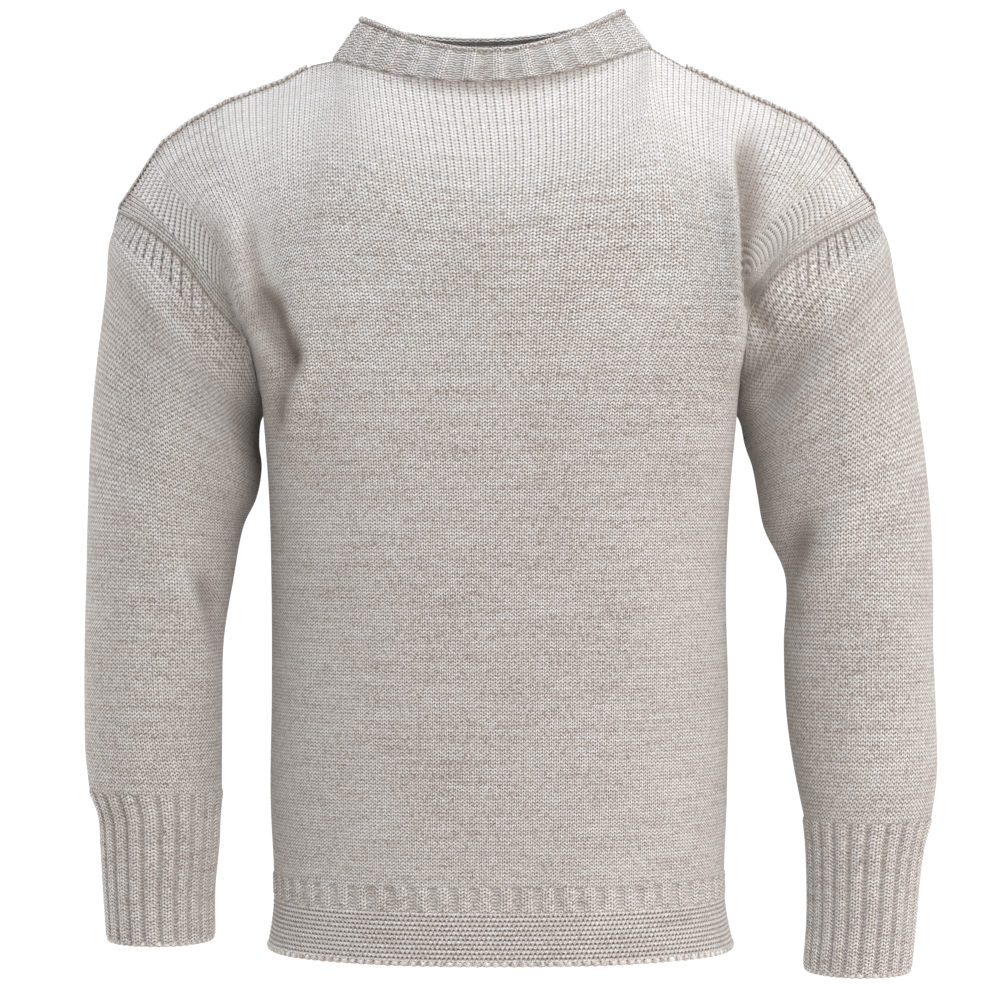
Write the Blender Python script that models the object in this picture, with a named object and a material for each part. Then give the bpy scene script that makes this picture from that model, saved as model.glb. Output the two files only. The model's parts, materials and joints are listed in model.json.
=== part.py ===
"""Guernsey fisherman sweater, filled out as worn, with open neck, hem and cuffs.

Each knitted piece is one closed wall. Its outer face follows a smooth surface that is worked out
from the garment's sizes, and ribs and garter ridges are raised in that face over a plain inside.
Sizes and tables are in millimetres; MM turns them into metres when a mesh is made.

Frame: +Z up, the wearer faces -Y, and +X is the wearer's left. The origin is the middle of the
neck base, the level at which the shoulders carry the garment.
"""
import functools
import math
from typing import NamedTuple

import bmesh
import bpy
import numpy as np

# ---------------------------------------------------------------- driving dimensions (mm)
MM = 0.001
WALL = 2.6              # thickness of the plain knitting
SEAM_GAP = 0.3          # between the edges of neighbouring pieces
RELIEF_START = 1.2      # distance from a seam at which ribs begin

UNDERARM_Z = -262.0
RIB_TOP_Z = -618.0      # where the plain body ends and the rib band begins
WELT_TOP_Z = -636.0
HEM_Z = -676.0

RIB_HEIGHT = 0.75       # half of the step between a raised and a sunk rib
GARTER_HEIGHT = 0.5     # half of the step between a garter ridge and its furrow
SEAM_BEAD = 2.2         # height of the linked ridge along each shoulder
SEAM_BEAD_WIDTH = 2.4   # on each side of the shoulder seam

# Places across a body panel, as a fraction of the half width in wales.
NECK_CORNER_U = 0.44
GUSSET_APEX_U = 0.50
FOLD_U = 0.63
SHOULDER_U = 0.80
LADDER_UNTIL_V = 0.35   # below this level of the yoke the ladder keeps its lower places
NECK_SOFTENING = 0.30   # how fast the neck's corner fades into the panel below it
FOOT_REACH = 0.6        # how far up the yoke the underarm section still shapes it
HEAD_REACH = 0.7        # how far down the yoke the top edge shapes it
GUIDE_TAIL = 0.3        # the guides start this share of the yoke's height below the underarm

BODY_RIBS = 32          # on each of front and back
WELT_RIDGES = 11
LADDER_RIDGES = 26
SLEEVE_HEAD_RIBS = 60
SLEEVE_HEAD_LENGTH = 19.0
SLEEVE_HEAD_START = 1.5
PLAIN_UNDERARM = 0.05   # share of a turn, on each side of the underarm, with no ribs
SLEEVE_LENGTH = 330.0   # along the middle of the tube, from the armhole to the cuff
CUFF_RIBS = 22
COLLAR_RIBS = 33
COLLAR_EDGE_POINTS = 44

VENT_FLARE_FROM = 120.0  # distance from the centre line at which the welt's corners lift
VENT_FLARE_SPAN = 55.0
VENT_FLARE_OUT = 4.0
VENT_FLARE_OPEN = 5.0

WOOL_COLOUR = (0.47, 0.42, 0.40)
WOOL_ROUGHNESS = 0.95


# ---------------------------------------------------------------- tables of sections
class TorsoRing(NamedTuple):
    """A level cross-section of the body: half widths, front, back and side depth."""
    z: float
    left_x: float
    right_x: float
    front_y: float
    back_y: float
    side_y: float
    squareness: float


TORSO_RINGS = [
    TorsoRing(-676, 177, 176, -133, 120, -2, 2.5),
    TorsoRing(-636, 174, 175, -131, 118, -2, 2.5),
    TorsoRing(-560, 176, 178, -131, 116, -2, 2.5),
    TorsoRing(-480, 177, 177, -132, 114, -2, 2.5),
    TorsoRing(-400, 175, 177, -132, 112, -2, 2.7),
    TorsoRing(-330, 177, 178, -131, 114, -2, 3.3),
    TorsoRing(-262, 182, 182, -129, 116, 0, 4.2),
    TorsoRing(-200, 186, 186, -127, 117, 0, 4.6),
]


class GuidePoint(NamedTuple):
    """A point of a lengthwise guide; v runs from the underarm level (0) to the top edge (1)."""
    v: float
    x: float
    y: float
    z: float


CENTRE_FRONT = [
    GuidePoint(0.25, 0, -126, -200),
    GuidePoint(0.50, 0, -119, -138),
    GuidePoint(0.75, 0, -104, -77),
]
CENTRE_BACK = [
    GuidePoint(0.25, 0, 118, -193),
    GuidePoint(0.50, 0, 115, -124),
    GuidePoint(0.75, 0, 101, -54),
]

# For each side of the front, x is the distance from the centre line.
FRONT_FOLD = {
    1: [
        GuidePoint(0.20, 178, -108, -213),
        GuidePoint(0.40, 179, -106, -166),
        GuidePoint(0.60, 177, -97, -117),
        GuidePoint(0.80, 180, -68, -61),
    ],
    -1: [
        GuidePoint(0.20, 170, -106, -214),
        GuidePoint(0.40, 172, -104, -166),
        GuidePoint(0.60, 180, -96, -117),
        GuidePoint(0.80, 188, -66, -61),
    ],
}
FRONT_SHOULDER = {
    1: [
        GuidePoint(0.20, 181, -84, -217),
        GuidePoint(0.40, 183, -95, -173),
        GuidePoint(0.60, 204, -86, -132),
        GuidePoint(0.80, 232, -57, -84),
    ],
    -1: [
        GuidePoint(0.20, 184, -83, -220),
        GuidePoint(0.40, 192, -97, -180),
        GuidePoint(0.60, 210, -89, -138),
        GuidePoint(0.80, 237, -57, -88),
    ],
}
FRONT_ARMHOLE = {
    1: [
        GuidePoint(0.15, 184, -28, -252),
        GuidePoint(0.30, 185, -52, -229),
        GuidePoint(0.45, 188, -74, -198),
        GuidePoint(0.60, 206, -84, -163),
        GuidePoint(0.75, 237, -70, -139),
        GuidePoint(0.90, 273, -36, -119),
    ],
    -1: [
        GuidePoint(0.15, 184, -28, -252),
        GuidePoint(0.30, 186, -52, -235),
        GuidePoint(0.45, 193, -73, -210),
        GuidePoint(0.60, 216, -82, -183),
        GuidePoint(0.75, 241, -70, -150),
        GuidePoint(0.90, 276, -36, -120),
    ],
}
# The back is alike on both sides.
BACK_BLADE = [
    GuidePoint(0.20, 172, 98, -213),
    GuidePoint(0.40, 178, 98, -164),
    GuidePoint(0.60, 184, 92, -114),
    GuidePoint(0.80, 188, 66, -58),
]
BACK_SHOULDER = [
    GuidePoint(0.20, 184, 68, -222),
    GuidePoint(0.40, 196, 84, -176),
    GuidePoint(0.60, 214, 82, -130),
    GuidePoint(0.80, 236, 56, -84),
]
BACK_ARMHOLE = [
    GuidePoint(0.15, 184, 36, -250),
    GuidePoint(0.30, 190, 62, -226),
    GuidePoint(0.45, 203, 76, -197),
    GuidePoint(0.60, 222, 79, -171),
    GuidePoint(0.75, 246, 67, -145),
    GuidePoint(0.90, 276, 36, -120),
]


class NeckRing(NamedTuple):
    """A level of the collar: centre, half widths, front and back depth, heights and tilt."""
    centre_x: float
    half_x: float
    front_y: float
    back_y: float
    front_z: float
    side_z: float
    back_z: float
    tilt: float


# The left side stands higher than the right by twice the tilt.
NECK_BASE = NeckRing(-6, 125, -80, 76, -16, 15, 10, 5)
NECK_MIDDLE = NeckRing(-6, 113, -77, 73, -3, 31, 24, 4)
NECK_TOP = NeckRing(-6, 101.5, -69, 67, 11, 47.5, 39, 3)
GUSSET_HALF_ANGLE = math.radians(13)


class SeamPoint(NamedTuple):
    """A point of the shoulder seam: height, and distance from the centre on each side."""
    z: float
    left_x: float
    right_x: float


SHOULDER_SEAM = [
    SeamPoint(7, 142.5, 148),
    SeamPoint(-6, 170.5, 170.5),
    SeamPoint(-21, 204.5, 211.5),
    SeamPoint(-37, 239.5, 241.5),
    SeamPoint(-53, 258.5, 262.5),
    SeamPoint(-67, 269.5, 272.5),
    SeamPoint(-83, 278.5, 282.5),
    SeamPoint(-98, 288.5, 292.5),
    SeamPoint(-107, 293.5, 298.5),
]


class SleeveRing(NamedTuple):
    """A cross-section of a sleeve or cuff: outer and inner side, centre depth, half depth."""
    outer_x: float
    outer_z: float
    inner_x: float
    inner_z: float
    centre_y: float
    half_depth: float
    squareness: float


# x is the distance from the garment's centre line.
SLEEVE_RINGS = {
    1: [
        SleeveRing(301, -129, 188, -273, -1, 78, 2.1),
        SleeveRing(308, -166, 191, -288, -1, 77, 2.1),
        SleeveRing(319, -222, 197, -306, -2, 75, 2.1),
        SleeveRing(328, -280, 201, -328, -3, 72, 2.1),
        SleeveRing(334, -338, 206, -354, -4, 69, 2.1),
        SleeveRing(336, -392, 222, -390, -6, 66, 2.1),
        SleeveRing(336, -445, 221, -445, -8, 63, 2.1),
        SleeveRing(338, -500, 223, -500, -10, 60, 2.1),
        SleeveRing(338, -548, 230, -548, -12, 55, 2.1),
        SleeveRing(334, -577, 236, -577, -13, 50, 2.1),
    ],
    -1: [
        SleeveRing(303, -129, 187, -272, -1, 78, 2.1),
        SleeveRing(306, -166, 188, -288, -1, 77, 2.1),
        SleeveRing(313, -222, 186, -306, -2, 75, 2.1),
        SleeveRing(318, -280, 190, -330, -3, 72, 2.1),
        SleeveRing(320, -338, 200, -352, -4, 69, 2.1),
        SleeveRing(321, -390, 208, -395, -6, 66, 2.1),
        SleeveRing(322, -440, 215, -440, -8, 63, 2.1),
        SleeveRing(322, -490, 216, -490, -10, 59, 2.1),
        SleeveRing(321, -528, 216, -528, -12, 54, 2.1),
        SleeveRing(318, -555, 216, -555, -13, 50, 2.1),
    ],
}
CUFF_RINGS = {
    1: [
        SleeveRing(334, -577, 236, -577, -13, 50, 2.1),
        SleeveRing(328, -597, 238, -597, -14, 48, 2.1),
        SleeveRing(324, -622, 239, -622, -15, 47, 2.1),
        SleeveRing(321, -655, 239, -655, -16, 46, 2.1),
        SleeveRing(317, -695, 236, -695, -17, 46, 2.1),
    ],
    -1: [
        SleeveRing(318, -555, 216, -555, -13, 50, 2.1),
        SleeveRing(310, -575, 218, -575, -14, 48, 2.1),
        SleeveRing(308, -598, 219, -598, -15, 47, 2.1),
        SleeveRing(306, -630, 222, -630, -16, 46, 2.1),
        SleeveRing(303, -671, 222, -671, -17, 46, 2.1),
    ],
}


class Crease(NamedTuple):
    """A fold seen from the front or back: a ridge (+) or trough (-) along a bent line."""
    facing: int
    start: tuple
    middle: tuple
    end: tuple
    width: float
    depth: float


# x, z of the line's points; facing is -1 for the front and +1 for the back.
CREASES = [
    Crease(-1, (192, -30), (192, -92), (189, -150), 11, -7),
    Crease(-1, (180, -60), (178, -160), (166, -300), 12, 6),
    Crease(-1, (202, -264), (218, -234), (246, -192), 15, -5),
    Crease(-1, (216, -290), (238, -244), (268, -190), 15, 4),
    Crease(-1, (276, -320), (242, -388), (224, -416), 13, 7),
    Crease(-1, (238, -328), (220, -392), (206, -456), 12, -7),
    Crease(-1, (-228, -86), (-195, -152), (-168, -252), 13, 7),
    Crease(-1, (-177, -166), (-165, -208), (-150, -240), 10, -10),
    Crease(-1, (-144, -200), (-151, -236), (-170, -282), 9, 5),
    Crease(-1, (-258, -372), (-235, -425), (-213, -512), 11, 6),
    Crease(-1, (-232, -378), (-217, -425), (-211, -470), 9, -6),
    Crease(1, (200, -90), (188, -165), (176, -245), 14, -8),
    Crease(1, (-202, -88), (-190, -165), (-176, -245), 14, -8),
    Crease(1, (180, -95), (168, -190), (156, -290), 16, 6),
    Crease(1, (-182, -95), (-170, -190), (-158, -290), 16, 6),
    Crease(1, (316, -315), (270, -372), (224, -400), 15, -7),
    Crease(1, (-304, -325), (-262, -380), (-214, -410), 15, -7),
    Crease(1, (206, -276), (246, -238), (290, -204), 15, -6),
    Crease(1, (-204, -276), (-244, -240), (-286, -206), 15, -6),
]

# ---------------------------------------------------------------- rows and columns of the meshes
BODY_LEVELS = [0.0, 0.22, 0.44, 0.62, 0.76, 0.88, 1.0]
YOKE_HEIGHT = 246.0
YOKE_LEVELS = [0.08, 0.16, 0.24, 0.32, 0.40, 0.48, 0.56, 0.64, 0.72, 0.80, 0.88, 0.95, 1.0]


class Column(NamedTuple):
    """A lengthwise line of a body panel: its place low on the panel and at the top edge."""
    low: float
    high: float
    kind: str = "plain"


HALF_COLUMNS = [
    Column(0.0, 0.0),
    Column(0.09, 0.09),
    Column(0.18, 0.18),
    Column(0.27, 0.27),
    Column(0.36, 0.36),
    Column(NECK_CORNER_U, NECK_CORNER_U),
    Column(GUSSET_APEX_U, GUSSET_APEX_U),
    Column(0.56, 0.56),
    Column(0.60, 0.61),
    Column(FOLD_U, 0.66),
    Column(0.67, 0.72),
    Column(0.72, 0.79),
    Column(0.778, 0.872, "flank"),
    Column(0.788, 0.880, "ladder"),
    Column(0.894, 0.945, "ladder"),
    Column(0.904, 0.953, "flank"),
    Column(1.0, 1.0),
]
CUFF_LEVELS = [0.012, 0.12, 0.30, 0.60, 0.975]
COLLAR_RIB_LEVELS = [0.09, 0.45, 0.84]
# The groove and the rolled edge above the collar's ribs: level, and height over the surface.
COLLAR_EDGE = [(0.88, -0.8), (0.91, 0.9), (0.97, 1.3), (1.0, 0.2)]
SLEEVE_LEVELS = [0.05, 0.11, 0.18, 0.25, 0.32, 0.39, 0.46, 0.52, 0.58, 0.65, 0.73, 0.81, 0.89, 0.95, 1.0]


# ---------------------------------------------------------------- curves
def curve(knots, values, places):
    """Cubic curve through values at knots, read at an array of places."""
    knots = np.asarray(knots, dtype=float)
    values = np.asarray(values, dtype=float)
    places = np.atleast_1d(np.asarray(places, dtype=float))
    slopes = np.gradient(values, knots, axis=0)
    span = np.clip(np.searchsorted(knots, places) - 1, 0, len(knots) - 2)
    width = knots[span + 1] - knots[span]
    t = (places - knots[span]) / width
    shape = (len(places),) + (1,) * (values.ndim - 1)
    t = t.reshape(shape)
    width = width.reshape(shape)
    start = (2 * t**3 - 3 * t**2 + 1) * values[span] + (t**3 - 2 * t**2 + t) * width * slopes[span]
    end = (3 * t**2 - 2 * t**3) * values[span + 1] + (t**3 - t**2) * width * slopes[span + 1]
    return start + end


def smoothstep(value):
    """Ease from 0 to 1."""
    value = np.clip(value, 0.0, 1.0)
    return value * value * (3 - 2 * value)


def along(points, fractions):
    """Points at fractions of a polyline's length."""
    steps = np.linalg.norm(np.diff(points, axis=0), axis=1)
    length = np.concatenate([[0.0], np.cumsum(steps)])
    return np.stack([np.interp(fractions * length[-1], length, points[:, k]) for k in range(3)], axis=1)


# ---------------------------------------------------------------- surfaces of the body
def torso_ring(z):
    """The body's cross-section at a height, between the rings of the table."""
    knots = [ring.z for ring in TORSO_RINGS]
    return TorsoRing(*curve(knots, TORSO_RINGS, z)[0])


@functools.lru_cache(maxsize=None)
def torso_quarter(face, z, side):
    """A fine line from the centre of a panel to its side seam, at one level."""
    ring = torso_ring(z)
    angle = np.linspace(0.0, math.pi / 2, 160)
    depth = ring.front_y if face == "front" else ring.back_y
    half_width = ring.left_x if side > 0 else ring.right_x
    x = side * half_width * np.sin(angle) ** (2 / ring.squareness)
    y = ring.side_y + (depth - ring.side_y) * np.cos(angle) ** (2 / ring.squareness)
    return np.stack([x, y, np.full_like(x, z)], axis=1)


def torso_row(face, z, places):
    """Points across a panel at one level; places run from -1 to 1, side seam to side seam."""
    row = np.zeros((len(places), 3))
    for side in (1, -1):
        mask = places * side >= 0
        row[mask] = along(torso_quarter(face, z, side), np.abs(places[mask]))
    return row


def neck_point(ring, angle):
    """A point of a collar ring; the angle is 0 at the front and rises toward the wearer's left."""
    toward_front = max(math.cos(angle), 0.0)
    toward_back = max(-math.cos(angle), 0.0)
    x = ring.centre_x + ring.half_x * math.sin(angle)
    y = toward_front * ring.front_y + toward_back * ring.back_y
    z = ring.side_z + (ring.front_z - ring.side_z) * toward_front**2
    z += (ring.back_z - ring.side_z) * toward_back**2 + ring.tilt * math.sin(angle)
    return np.array([x, y, z])


def neck_angle(face, place):
    """The collar angle at which a panel's column meets the neckline."""
    reach = (math.pi / 2 - GUSSET_HALF_ANGLE) * place / NECK_CORNER_U
    return reach if face == "front" else math.pi - reach


def shoulder_line(side):
    """The shoulder seam from the gusset's apex to the sleeve."""
    xs = [side * (point.left_x if side > 0 else point.right_x) for point in SHOULDER_SEAM]
    return np.array([[x, 0.0, point.z] for x, point in zip(xs, SHOULDER_SEAM)])


def top_row(face, places):
    """Points of a panel's top edge: neckline, gusset edge and shoulder seam."""
    row = []
    for place in places:
        side = 1 if place >= 0 else -1
        part = abs(place)
        if part <= NECK_CORNER_U:
            row.append(neck_point(NECK_BASE, neck_angle(face, place)))
            continue
        seam = shoulder_line(side)
        if part <= GUSSET_APEX_U:
            corner = neck_point(NECK_BASE, neck_angle(face, side * NECK_CORNER_U))
            share = (part - NECK_CORNER_U) / (GUSSET_APEX_U - NECK_CORNER_U)
            row.append(corner + (seam[0] - corner) * share)
            continue
        share = (part - GUSSET_APEX_U) / (1 - GUSSET_APEX_U)
        row.append(along(seam, np.array([share]))[0])
    return np.array(row)


def guide_tables(face):
    """Each lengthwise guide of a panel, from its right edge to its left edge: place and rows."""
    if face == "front":
        tables = [(SHOULDER_U, FRONT_SHOULDER), (FOLD_U, FRONT_FOLD), (1.0, FRONT_ARMHOLE)]
        centre = CENTRE_FRONT
    else:
        both = [(SHOULDER_U, BACK_SHOULDER), (FOLD_U, BACK_BLADE), (1.0, BACK_ARMHOLE)]
        tables = [(place, {1: table, -1: table}) for place, table in both]
        centre = CENTRE_BACK
    guides = [(0.0, centre)]
    guides += [(side * place, table[side]) for place, table in tables for side in (1, -1)]
    return sorted(guides, key=lambda guide: guide[0])


@functools.lru_cache(maxsize=None)
def guide_points(face, v):
    """The guides' points at a level of the yoke."""
    low_z = UNDERARM_Z - GUIDE_TAIL * YOKE_HEIGHT
    points = []
    for place, table in guide_tables(face):
        side = -1 if place < 0 else 1
        foot = torso_row(face, UNDERARM_Z, np.array([place]))[0]
        head = top_row(face, np.array([place]))[0]
        knots = [0.0] + [row.v for row in table] + [1.0]
        values = [foot] + [np.array([side * row.x, row.y, row.z]) for row in table] + [head]
        if abs(place) < 1.0:
            knots.insert(0, -GUIDE_TAIL)
            values.insert(0, torso_row(face, low_z, np.array([place]))[0])
        points.append(curve(knots, values, v)[0])
    return np.array(points)


def body_row(face, level, places):
    """Points of a body panel; level is 0 at the rib band, 1 at the underarm and 2 at the top."""
    places = np.asarray(places, dtype=float)
    if level <= 1.0:
        return torso_row(face, RIB_TOP_Z + (UNDERARM_Z - RIB_TOP_Z) * level, places)
    v = level - 1.0
    guide_places = [place for place, _ in guide_tables(face)]
    near_foot = 1 - smoothstep(v / FOOT_REACH)
    near_head = smoothstep((v - 1 + HEAD_REACH) / HEAD_REACH)
    loft = curve(guide_places, guide_points(face, v), places)
    foot = curve(guide_places, guide_points(face, 0.0), places)
    loft += near_foot * (torso_row(face, UNDERARM_Z, places) - foot)
    reach = NECK_SOFTENING * (1 - v) * (1 - np.abs(places))
    offsets = (-1.0, -0.5, 0.0, 0.5, 1.0)
    for offset in offsets:
        spread = places + offset * reach
        head = curve(guide_places, guide_points(face, 1.0), spread)
        loft += near_head * (top_row(face, spread) - head) / len(offsets)
    return loft


# ---------------------------------------------------------------- surfaces of the sleeves
def ring_points(side, ring, turns):
    """Points round a sleeve ring; a turn of 0 is the outer side and 0.25 the front."""
    angle = 2 * math.pi * turns
    power = 2 / ring.squareness
    across = np.sign(np.cos(angle)) * np.abs(np.cos(angle)) ** power
    forward = np.sign(np.sin(angle)) * np.abs(np.sin(angle)) ** power
    x = (ring.outer_x + ring.inner_x) / 2 + across * (ring.outer_x - ring.inner_x) / 2
    z = (ring.outer_z + ring.inner_z) / 2 + across * (ring.outer_z - ring.inner_z) / 2
    y = ring.centre_y - forward * ring.half_depth
    return np.stack([side * x, y, z], axis=1)


def armhole_points(side, turns):
    """Points of the armhole, shared by the body's edge and the sleeve's head."""
    points = []
    for turn in turns:
        turn = turn % 1.0
        face = "front" if turn <= 0.5 else "back"
        v = abs(1 - 2 * turn)
        points.append(body_row(face, 1.0 + v, [side])[0])
    return np.array(points)


def matched_turns(side, turns):
    """Places round the first ring of a sleeve that lie straight below places of the armhole."""
    ring = SLEEVE_RINGS[side][0]
    points = armhole_points(side, turns)
    outer = np.array([side * ring.outer_x, ring.outer_z])
    inner = np.array([side * ring.inner_x, ring.inner_z])
    half = (outer - inner) / 2
    across = (points[:, [0, 2]] - (outer + inner) / 2) @ half / (half @ half)
    forward = (ring.centre_y - points[:, 1]) / ring.half_depth
    power = ring.squareness / 2
    across = np.sign(across) * np.abs(across) ** power
    forward = np.sign(forward) * np.abs(forward) ** power
    matched = np.arctan2(forward, across) / (2 * math.pi) % 1.0
    return np.where((turns < 0.25) & (matched > 0.75), matched - 1.0, matched)


def loft_rings(first, side, rings, turns, level):
    """A lengthwise spline through a first ring of points and the rings of a table."""
    sections = [first] + [ring_points(side, ring, turns) for ring in rings]
    middles = np.array([section.mean(axis=0) for section in sections])
    steps = np.linalg.norm(np.diff(middles, axis=0), axis=1)
    knots = np.concatenate([[0.0], np.cumsum(steps)]) / steps.sum()
    return curve(knots, sections, level)[0]


def sleeve_row(side, level, turns):
    """Points round a sleeve; level is 0 at the armhole and 1 at the cuff."""
    turns = np.asarray(turns, dtype=float)
    first = armhole_points(side, turns)
    return loft_rings(first, side, SLEEVE_RINGS[side], matched_turns(side, turns), level)


def cuff_row(side, level, turns):
    """Points round a cuff; level is 0 at the sleeve and 1 at its open end."""
    turns = np.asarray(turns, dtype=float)
    rings = CUFF_RINGS[side]
    return loft_rings(ring_points(side, rings[0], turns), side, rings[1:], turns, level)


# ---------------------------------------------------------------- creases
CREASE_FADE = 0.3       # share of a crease's length over which each end fades
CREASE_TURN = 1.6       # how soon a crease fades where the cloth turns away from its side


def crease_shift(points, normals):
    """How far the cloth stands out of its smooth surface at each point."""
    shift = np.zeros(len(points))
    flat = points[:, [0, 2]]
    steps = np.linspace(0.0, 1.0, 25)
    fade = smoothstep(steps / CREASE_FADE) * smoothstep((1 - steps) / CREASE_FADE)
    for crease in CREASES:
        line = np.array([crease.start, crease.middle, crease.end], dtype=float)
        line = curve([0.0, 0.5, 1.0], line, steps)
        gaps = np.linalg.norm(flat[:, None, :] - line[None, :, :], axis=2)
        height = (fade * np.exp(-((gaps / crease.width) ** 2))).max(axis=1)
        facing = smoothstep(normals[:, 1] * crease.facing * CREASE_TURN)
        shift += crease.depth * height * facing
    return shift


# ---------------------------------------------------------------- knitted pieces
class Strand(NamedTuple):
    """One line of a piece's points, with a parameter and a relief for each point."""
    keys: list
    points: np.ndarray
    relief: np.ndarray


class Piece:
    """A knitted piece, described by neighbouring strands of its outer and inner face."""

    def __init__(self, name, outer, inner, closed, middle):
        """outer and inner are lists of strands; middle(point) is a place inside the garment."""
        self.name = name
        self.outer = outer
        self.inner = inner
        self.closed = closed
        self.middle = middle


def strip_faces(first, second, closed):
    """Faces between two lines of (key, index), which may have different numbers of points."""
    first = list(first)
    second = list(second)
    if closed:
        first.append((first[0][0] + 1.0, first[0][1]))
        second.append((second[0][0] + 1.0, second[0][1]))
    faces = []
    i = 0
    j = 0
    while i < len(first) - 1 or j < len(second) - 1:
        next_first = first[i + 1][0] if i < len(first) - 1 else math.inf
        next_second = second[j + 1][0] if j < len(second) - 1 else math.inf
        if abs(next_first - next_second) < 1e-9:
            faces.append((first[i][1], first[i + 1][1], second[j + 1][1], second[j][1]))
            i += 1
            j += 1
        elif next_first < next_second:
            faces.append((first[i][1], first[i + 1][1], second[j][1]))
            i += 1
        else:
            faces.append((first[i][1], second[j + 1][1], second[j][1]))
            j += 1
    return faces


class Skin:
    """A piece's face as numbered points and faces, with the edge points and their pull inward."""

    def __init__(self, strands, closed):
        self.closed = closed
        self.lines = []
        count = 0
        for strand in strands:
            size = len(strand.keys)
            self.lines.append([(key, count + k) for k, key in enumerate(strand.keys)])
            count += size
        self.points = np.concatenate([strand.points for strand in strands])
        self.relief = np.concatenate([strand.relief for strand in strands])
        self.faces = []
        for first, second in zip(self.lines, self.lines[1:]):
            self.faces += strip_faces(first, second, closed)

    def edges(self):
        """Each open edge as a line of (key, index), with the line next to it inside."""
        last = len(self.lines) - 1
        rims = [(self.lines[0], self.lines[1]), (self.lines[last], self.lines[last - 1])]
        if not self.closed:
            starts = [(k, line[0][1]) for k, line in enumerate(self.lines)]
            ends = [(k, line[-1][1]) for k, line in enumerate(self.lines)]
            next_starts = [(k, line[:2][-1][1]) for k, line in enumerate(self.lines)]
            next_ends = [(k, line[-2:][0][1]) for k, line in enumerate(self.lines)]
            rims += [(starts, next_starts), (ends, next_ends)]
        return [rim for rim in rims if len(rim[0]) > 1]

    def edge_pull(self):
        """Moves for the edge points that open half a seam gap at every edge."""
        pull = np.zeros_like(self.points)
        middle = self.points.mean(axis=0)
        for rim, inside in self.edges():
            here = self.points[[index for _, index in rim]]
            tangent = np.roll(here, -1, axis=0) - np.roll(here, 1, axis=0)
            if not self.closed:
                tangent[0] = here[1] - here[0]
                tangent[-1] = here[-1] - here[-2]
            tangent /= np.linalg.norm(tangent, axis=1)[:, None]
            keys = np.array([key for key, _ in inside])
            for k, (key, index) in enumerate(rim):
                partner = inside[int(np.argmin(np.abs(keys - key)))][1]
                inward = (middle if partner == index else self.points[partner]) - here[k]
                inward -= tangent[k] * inward.dot(tangent[k])
                pull[index] += inward / np.linalg.norm(inward) * SEAM_GAP / 2
        return pull


def face_normals(points, faces):
    """Area-weighted normals of faces, one row each."""
    normals = []
    for face in faces:
        a, b, c = (points[face[k]] for k in (0, 1, 2))
        normal = np.cross(b - a, c - a)
        if len(face) == 4:
            normal = np.cross(c - a, points[face[3]] - b)
        normals.append(normal)
    return np.array(normals)


PLACES_PER_MM = 50
# The cosine between a piece's own direction at a seam and the one it shares.
SHARED_ABOVE = 0.75
OWN_BELOW = 0.6


def place_key(point):
    """A point's place, rounded so that the shared points of a seam meet."""
    return tuple(int(value) for value in np.round(point * PLACES_PER_MM))


def outward_normals(skin, piece):
    """Normals of a piece's faces, turned away from the garment's inside."""
    normals = face_normals(skin.points, skin.faces)
    centres = face_centres(skin)
    outward = centres - np.array([piece.middle(centre) for centre in centres])
    return normals if (normals * outward).sum() >= 0 else -normals


def face_centres(skin):
    """The middle of each face."""
    return np.array([skin.points[list(face)].mean(axis=0) for face in skin.faces])


def unit(vectors):
    """Vectors scaled to a length of one."""
    return vectors / np.linalg.norm(vectors, axis=1)[:, None]


def gathered(skin, values):
    """For each point of a skin, the sum of its faces' values."""
    totals = np.zeros_like(skin.points)
    for face, value in zip(skin.faces, values):
        totals[list(face)] += value
    return totals


def seam_normals(skins, pieces):
    """Normals for each piece's outer points, shared where pieces meet."""
    totals = {}
    for skin, piece in zip(skins, pieces):
        vectors = gathered(skin, outward_normals(skin, piece))
        for point, vector in zip(skin.points, vectors):
            key = place_key(point)
            totals[key] = totals.get(key, np.zeros(3)) + vector
    return [unit(np.array([totals[place_key(point)] for point in skin.points])) for skin in skins]


def wall_normals(skin, piece, shared):
    """Directions of a piece's thickness: its own where a seam folds sharply, else shared."""
    own = unit(gathered(skin, outward_normals(skin, piece)))
    agree = (own * shared).sum(axis=1)
    sharp = smoothstep((SHARED_ABOVE - agree) / (SHARED_ABOVE - OWN_BELOW))[:, None]
    return unit(shared * (1 - sharp) + own * sharp)


def wall_mesh(outer, normals, inner):
    """A closed wall: the outer skin with its relief, the plain inside, and the rims."""
    lookup = {place_key(point): k for k, point in enumerate(outer.points)}
    pull = outer.edge_pull()
    outer_points = outer.points + pull + normals * outer.relief[:, None]
    same = [lookup[place_key(point)] for point in inner.points]
    inner_points = outer.points[same] + pull[same] - normals[same] * WALL
    offset = len(outer_points)
    faces = list(outer.faces)
    faces += [tuple(index + offset for index in face) for face in inner.faces]
    for (rim, _), (inner_rim, _) in zip(outer.edges(), inner.edges()):
        by_place = {index: key for key, index in rim}
        lower = [(by_place[same[index]], index + offset) for _, index in inner_rim]
        faces += strip_faces(rim, lower, outer.closed)
    return np.concatenate([outer_points, inner_points]), faces


def plain_strand(keys, points):
    """A strand without relief."""
    return Strand(list(keys), points, np.zeros(len(keys)))


def one_a_rib(strand):
    """One point of a ribbed strand in four, for the plain inside."""
    return plain_strand(strand.keys[::4], strand.points[::4])


# ---------------------------------------------------------------- the body panels
CLOSEST_LEVELS = 0.012  # rows nearer than this to the shoulder ridge are left out


def panel_columns():
    """All columns of a body panel from its right edge to its left: side and column."""
    left = [(1, column) for column in HALF_COLUMNS]
    right = [(-1, column) for column in reversed(HALF_COLUMNS[1:])]
    return right + left


def column_place(side, column, level):
    """Where a column lies across the panel at a level."""
    ease = smoothstep((level - 1.0 - LADDER_UNTIL_V) / (1 - LADDER_UNTIL_V))
    return side * (column.low + (column.high - column.low) * float(ease))


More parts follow.
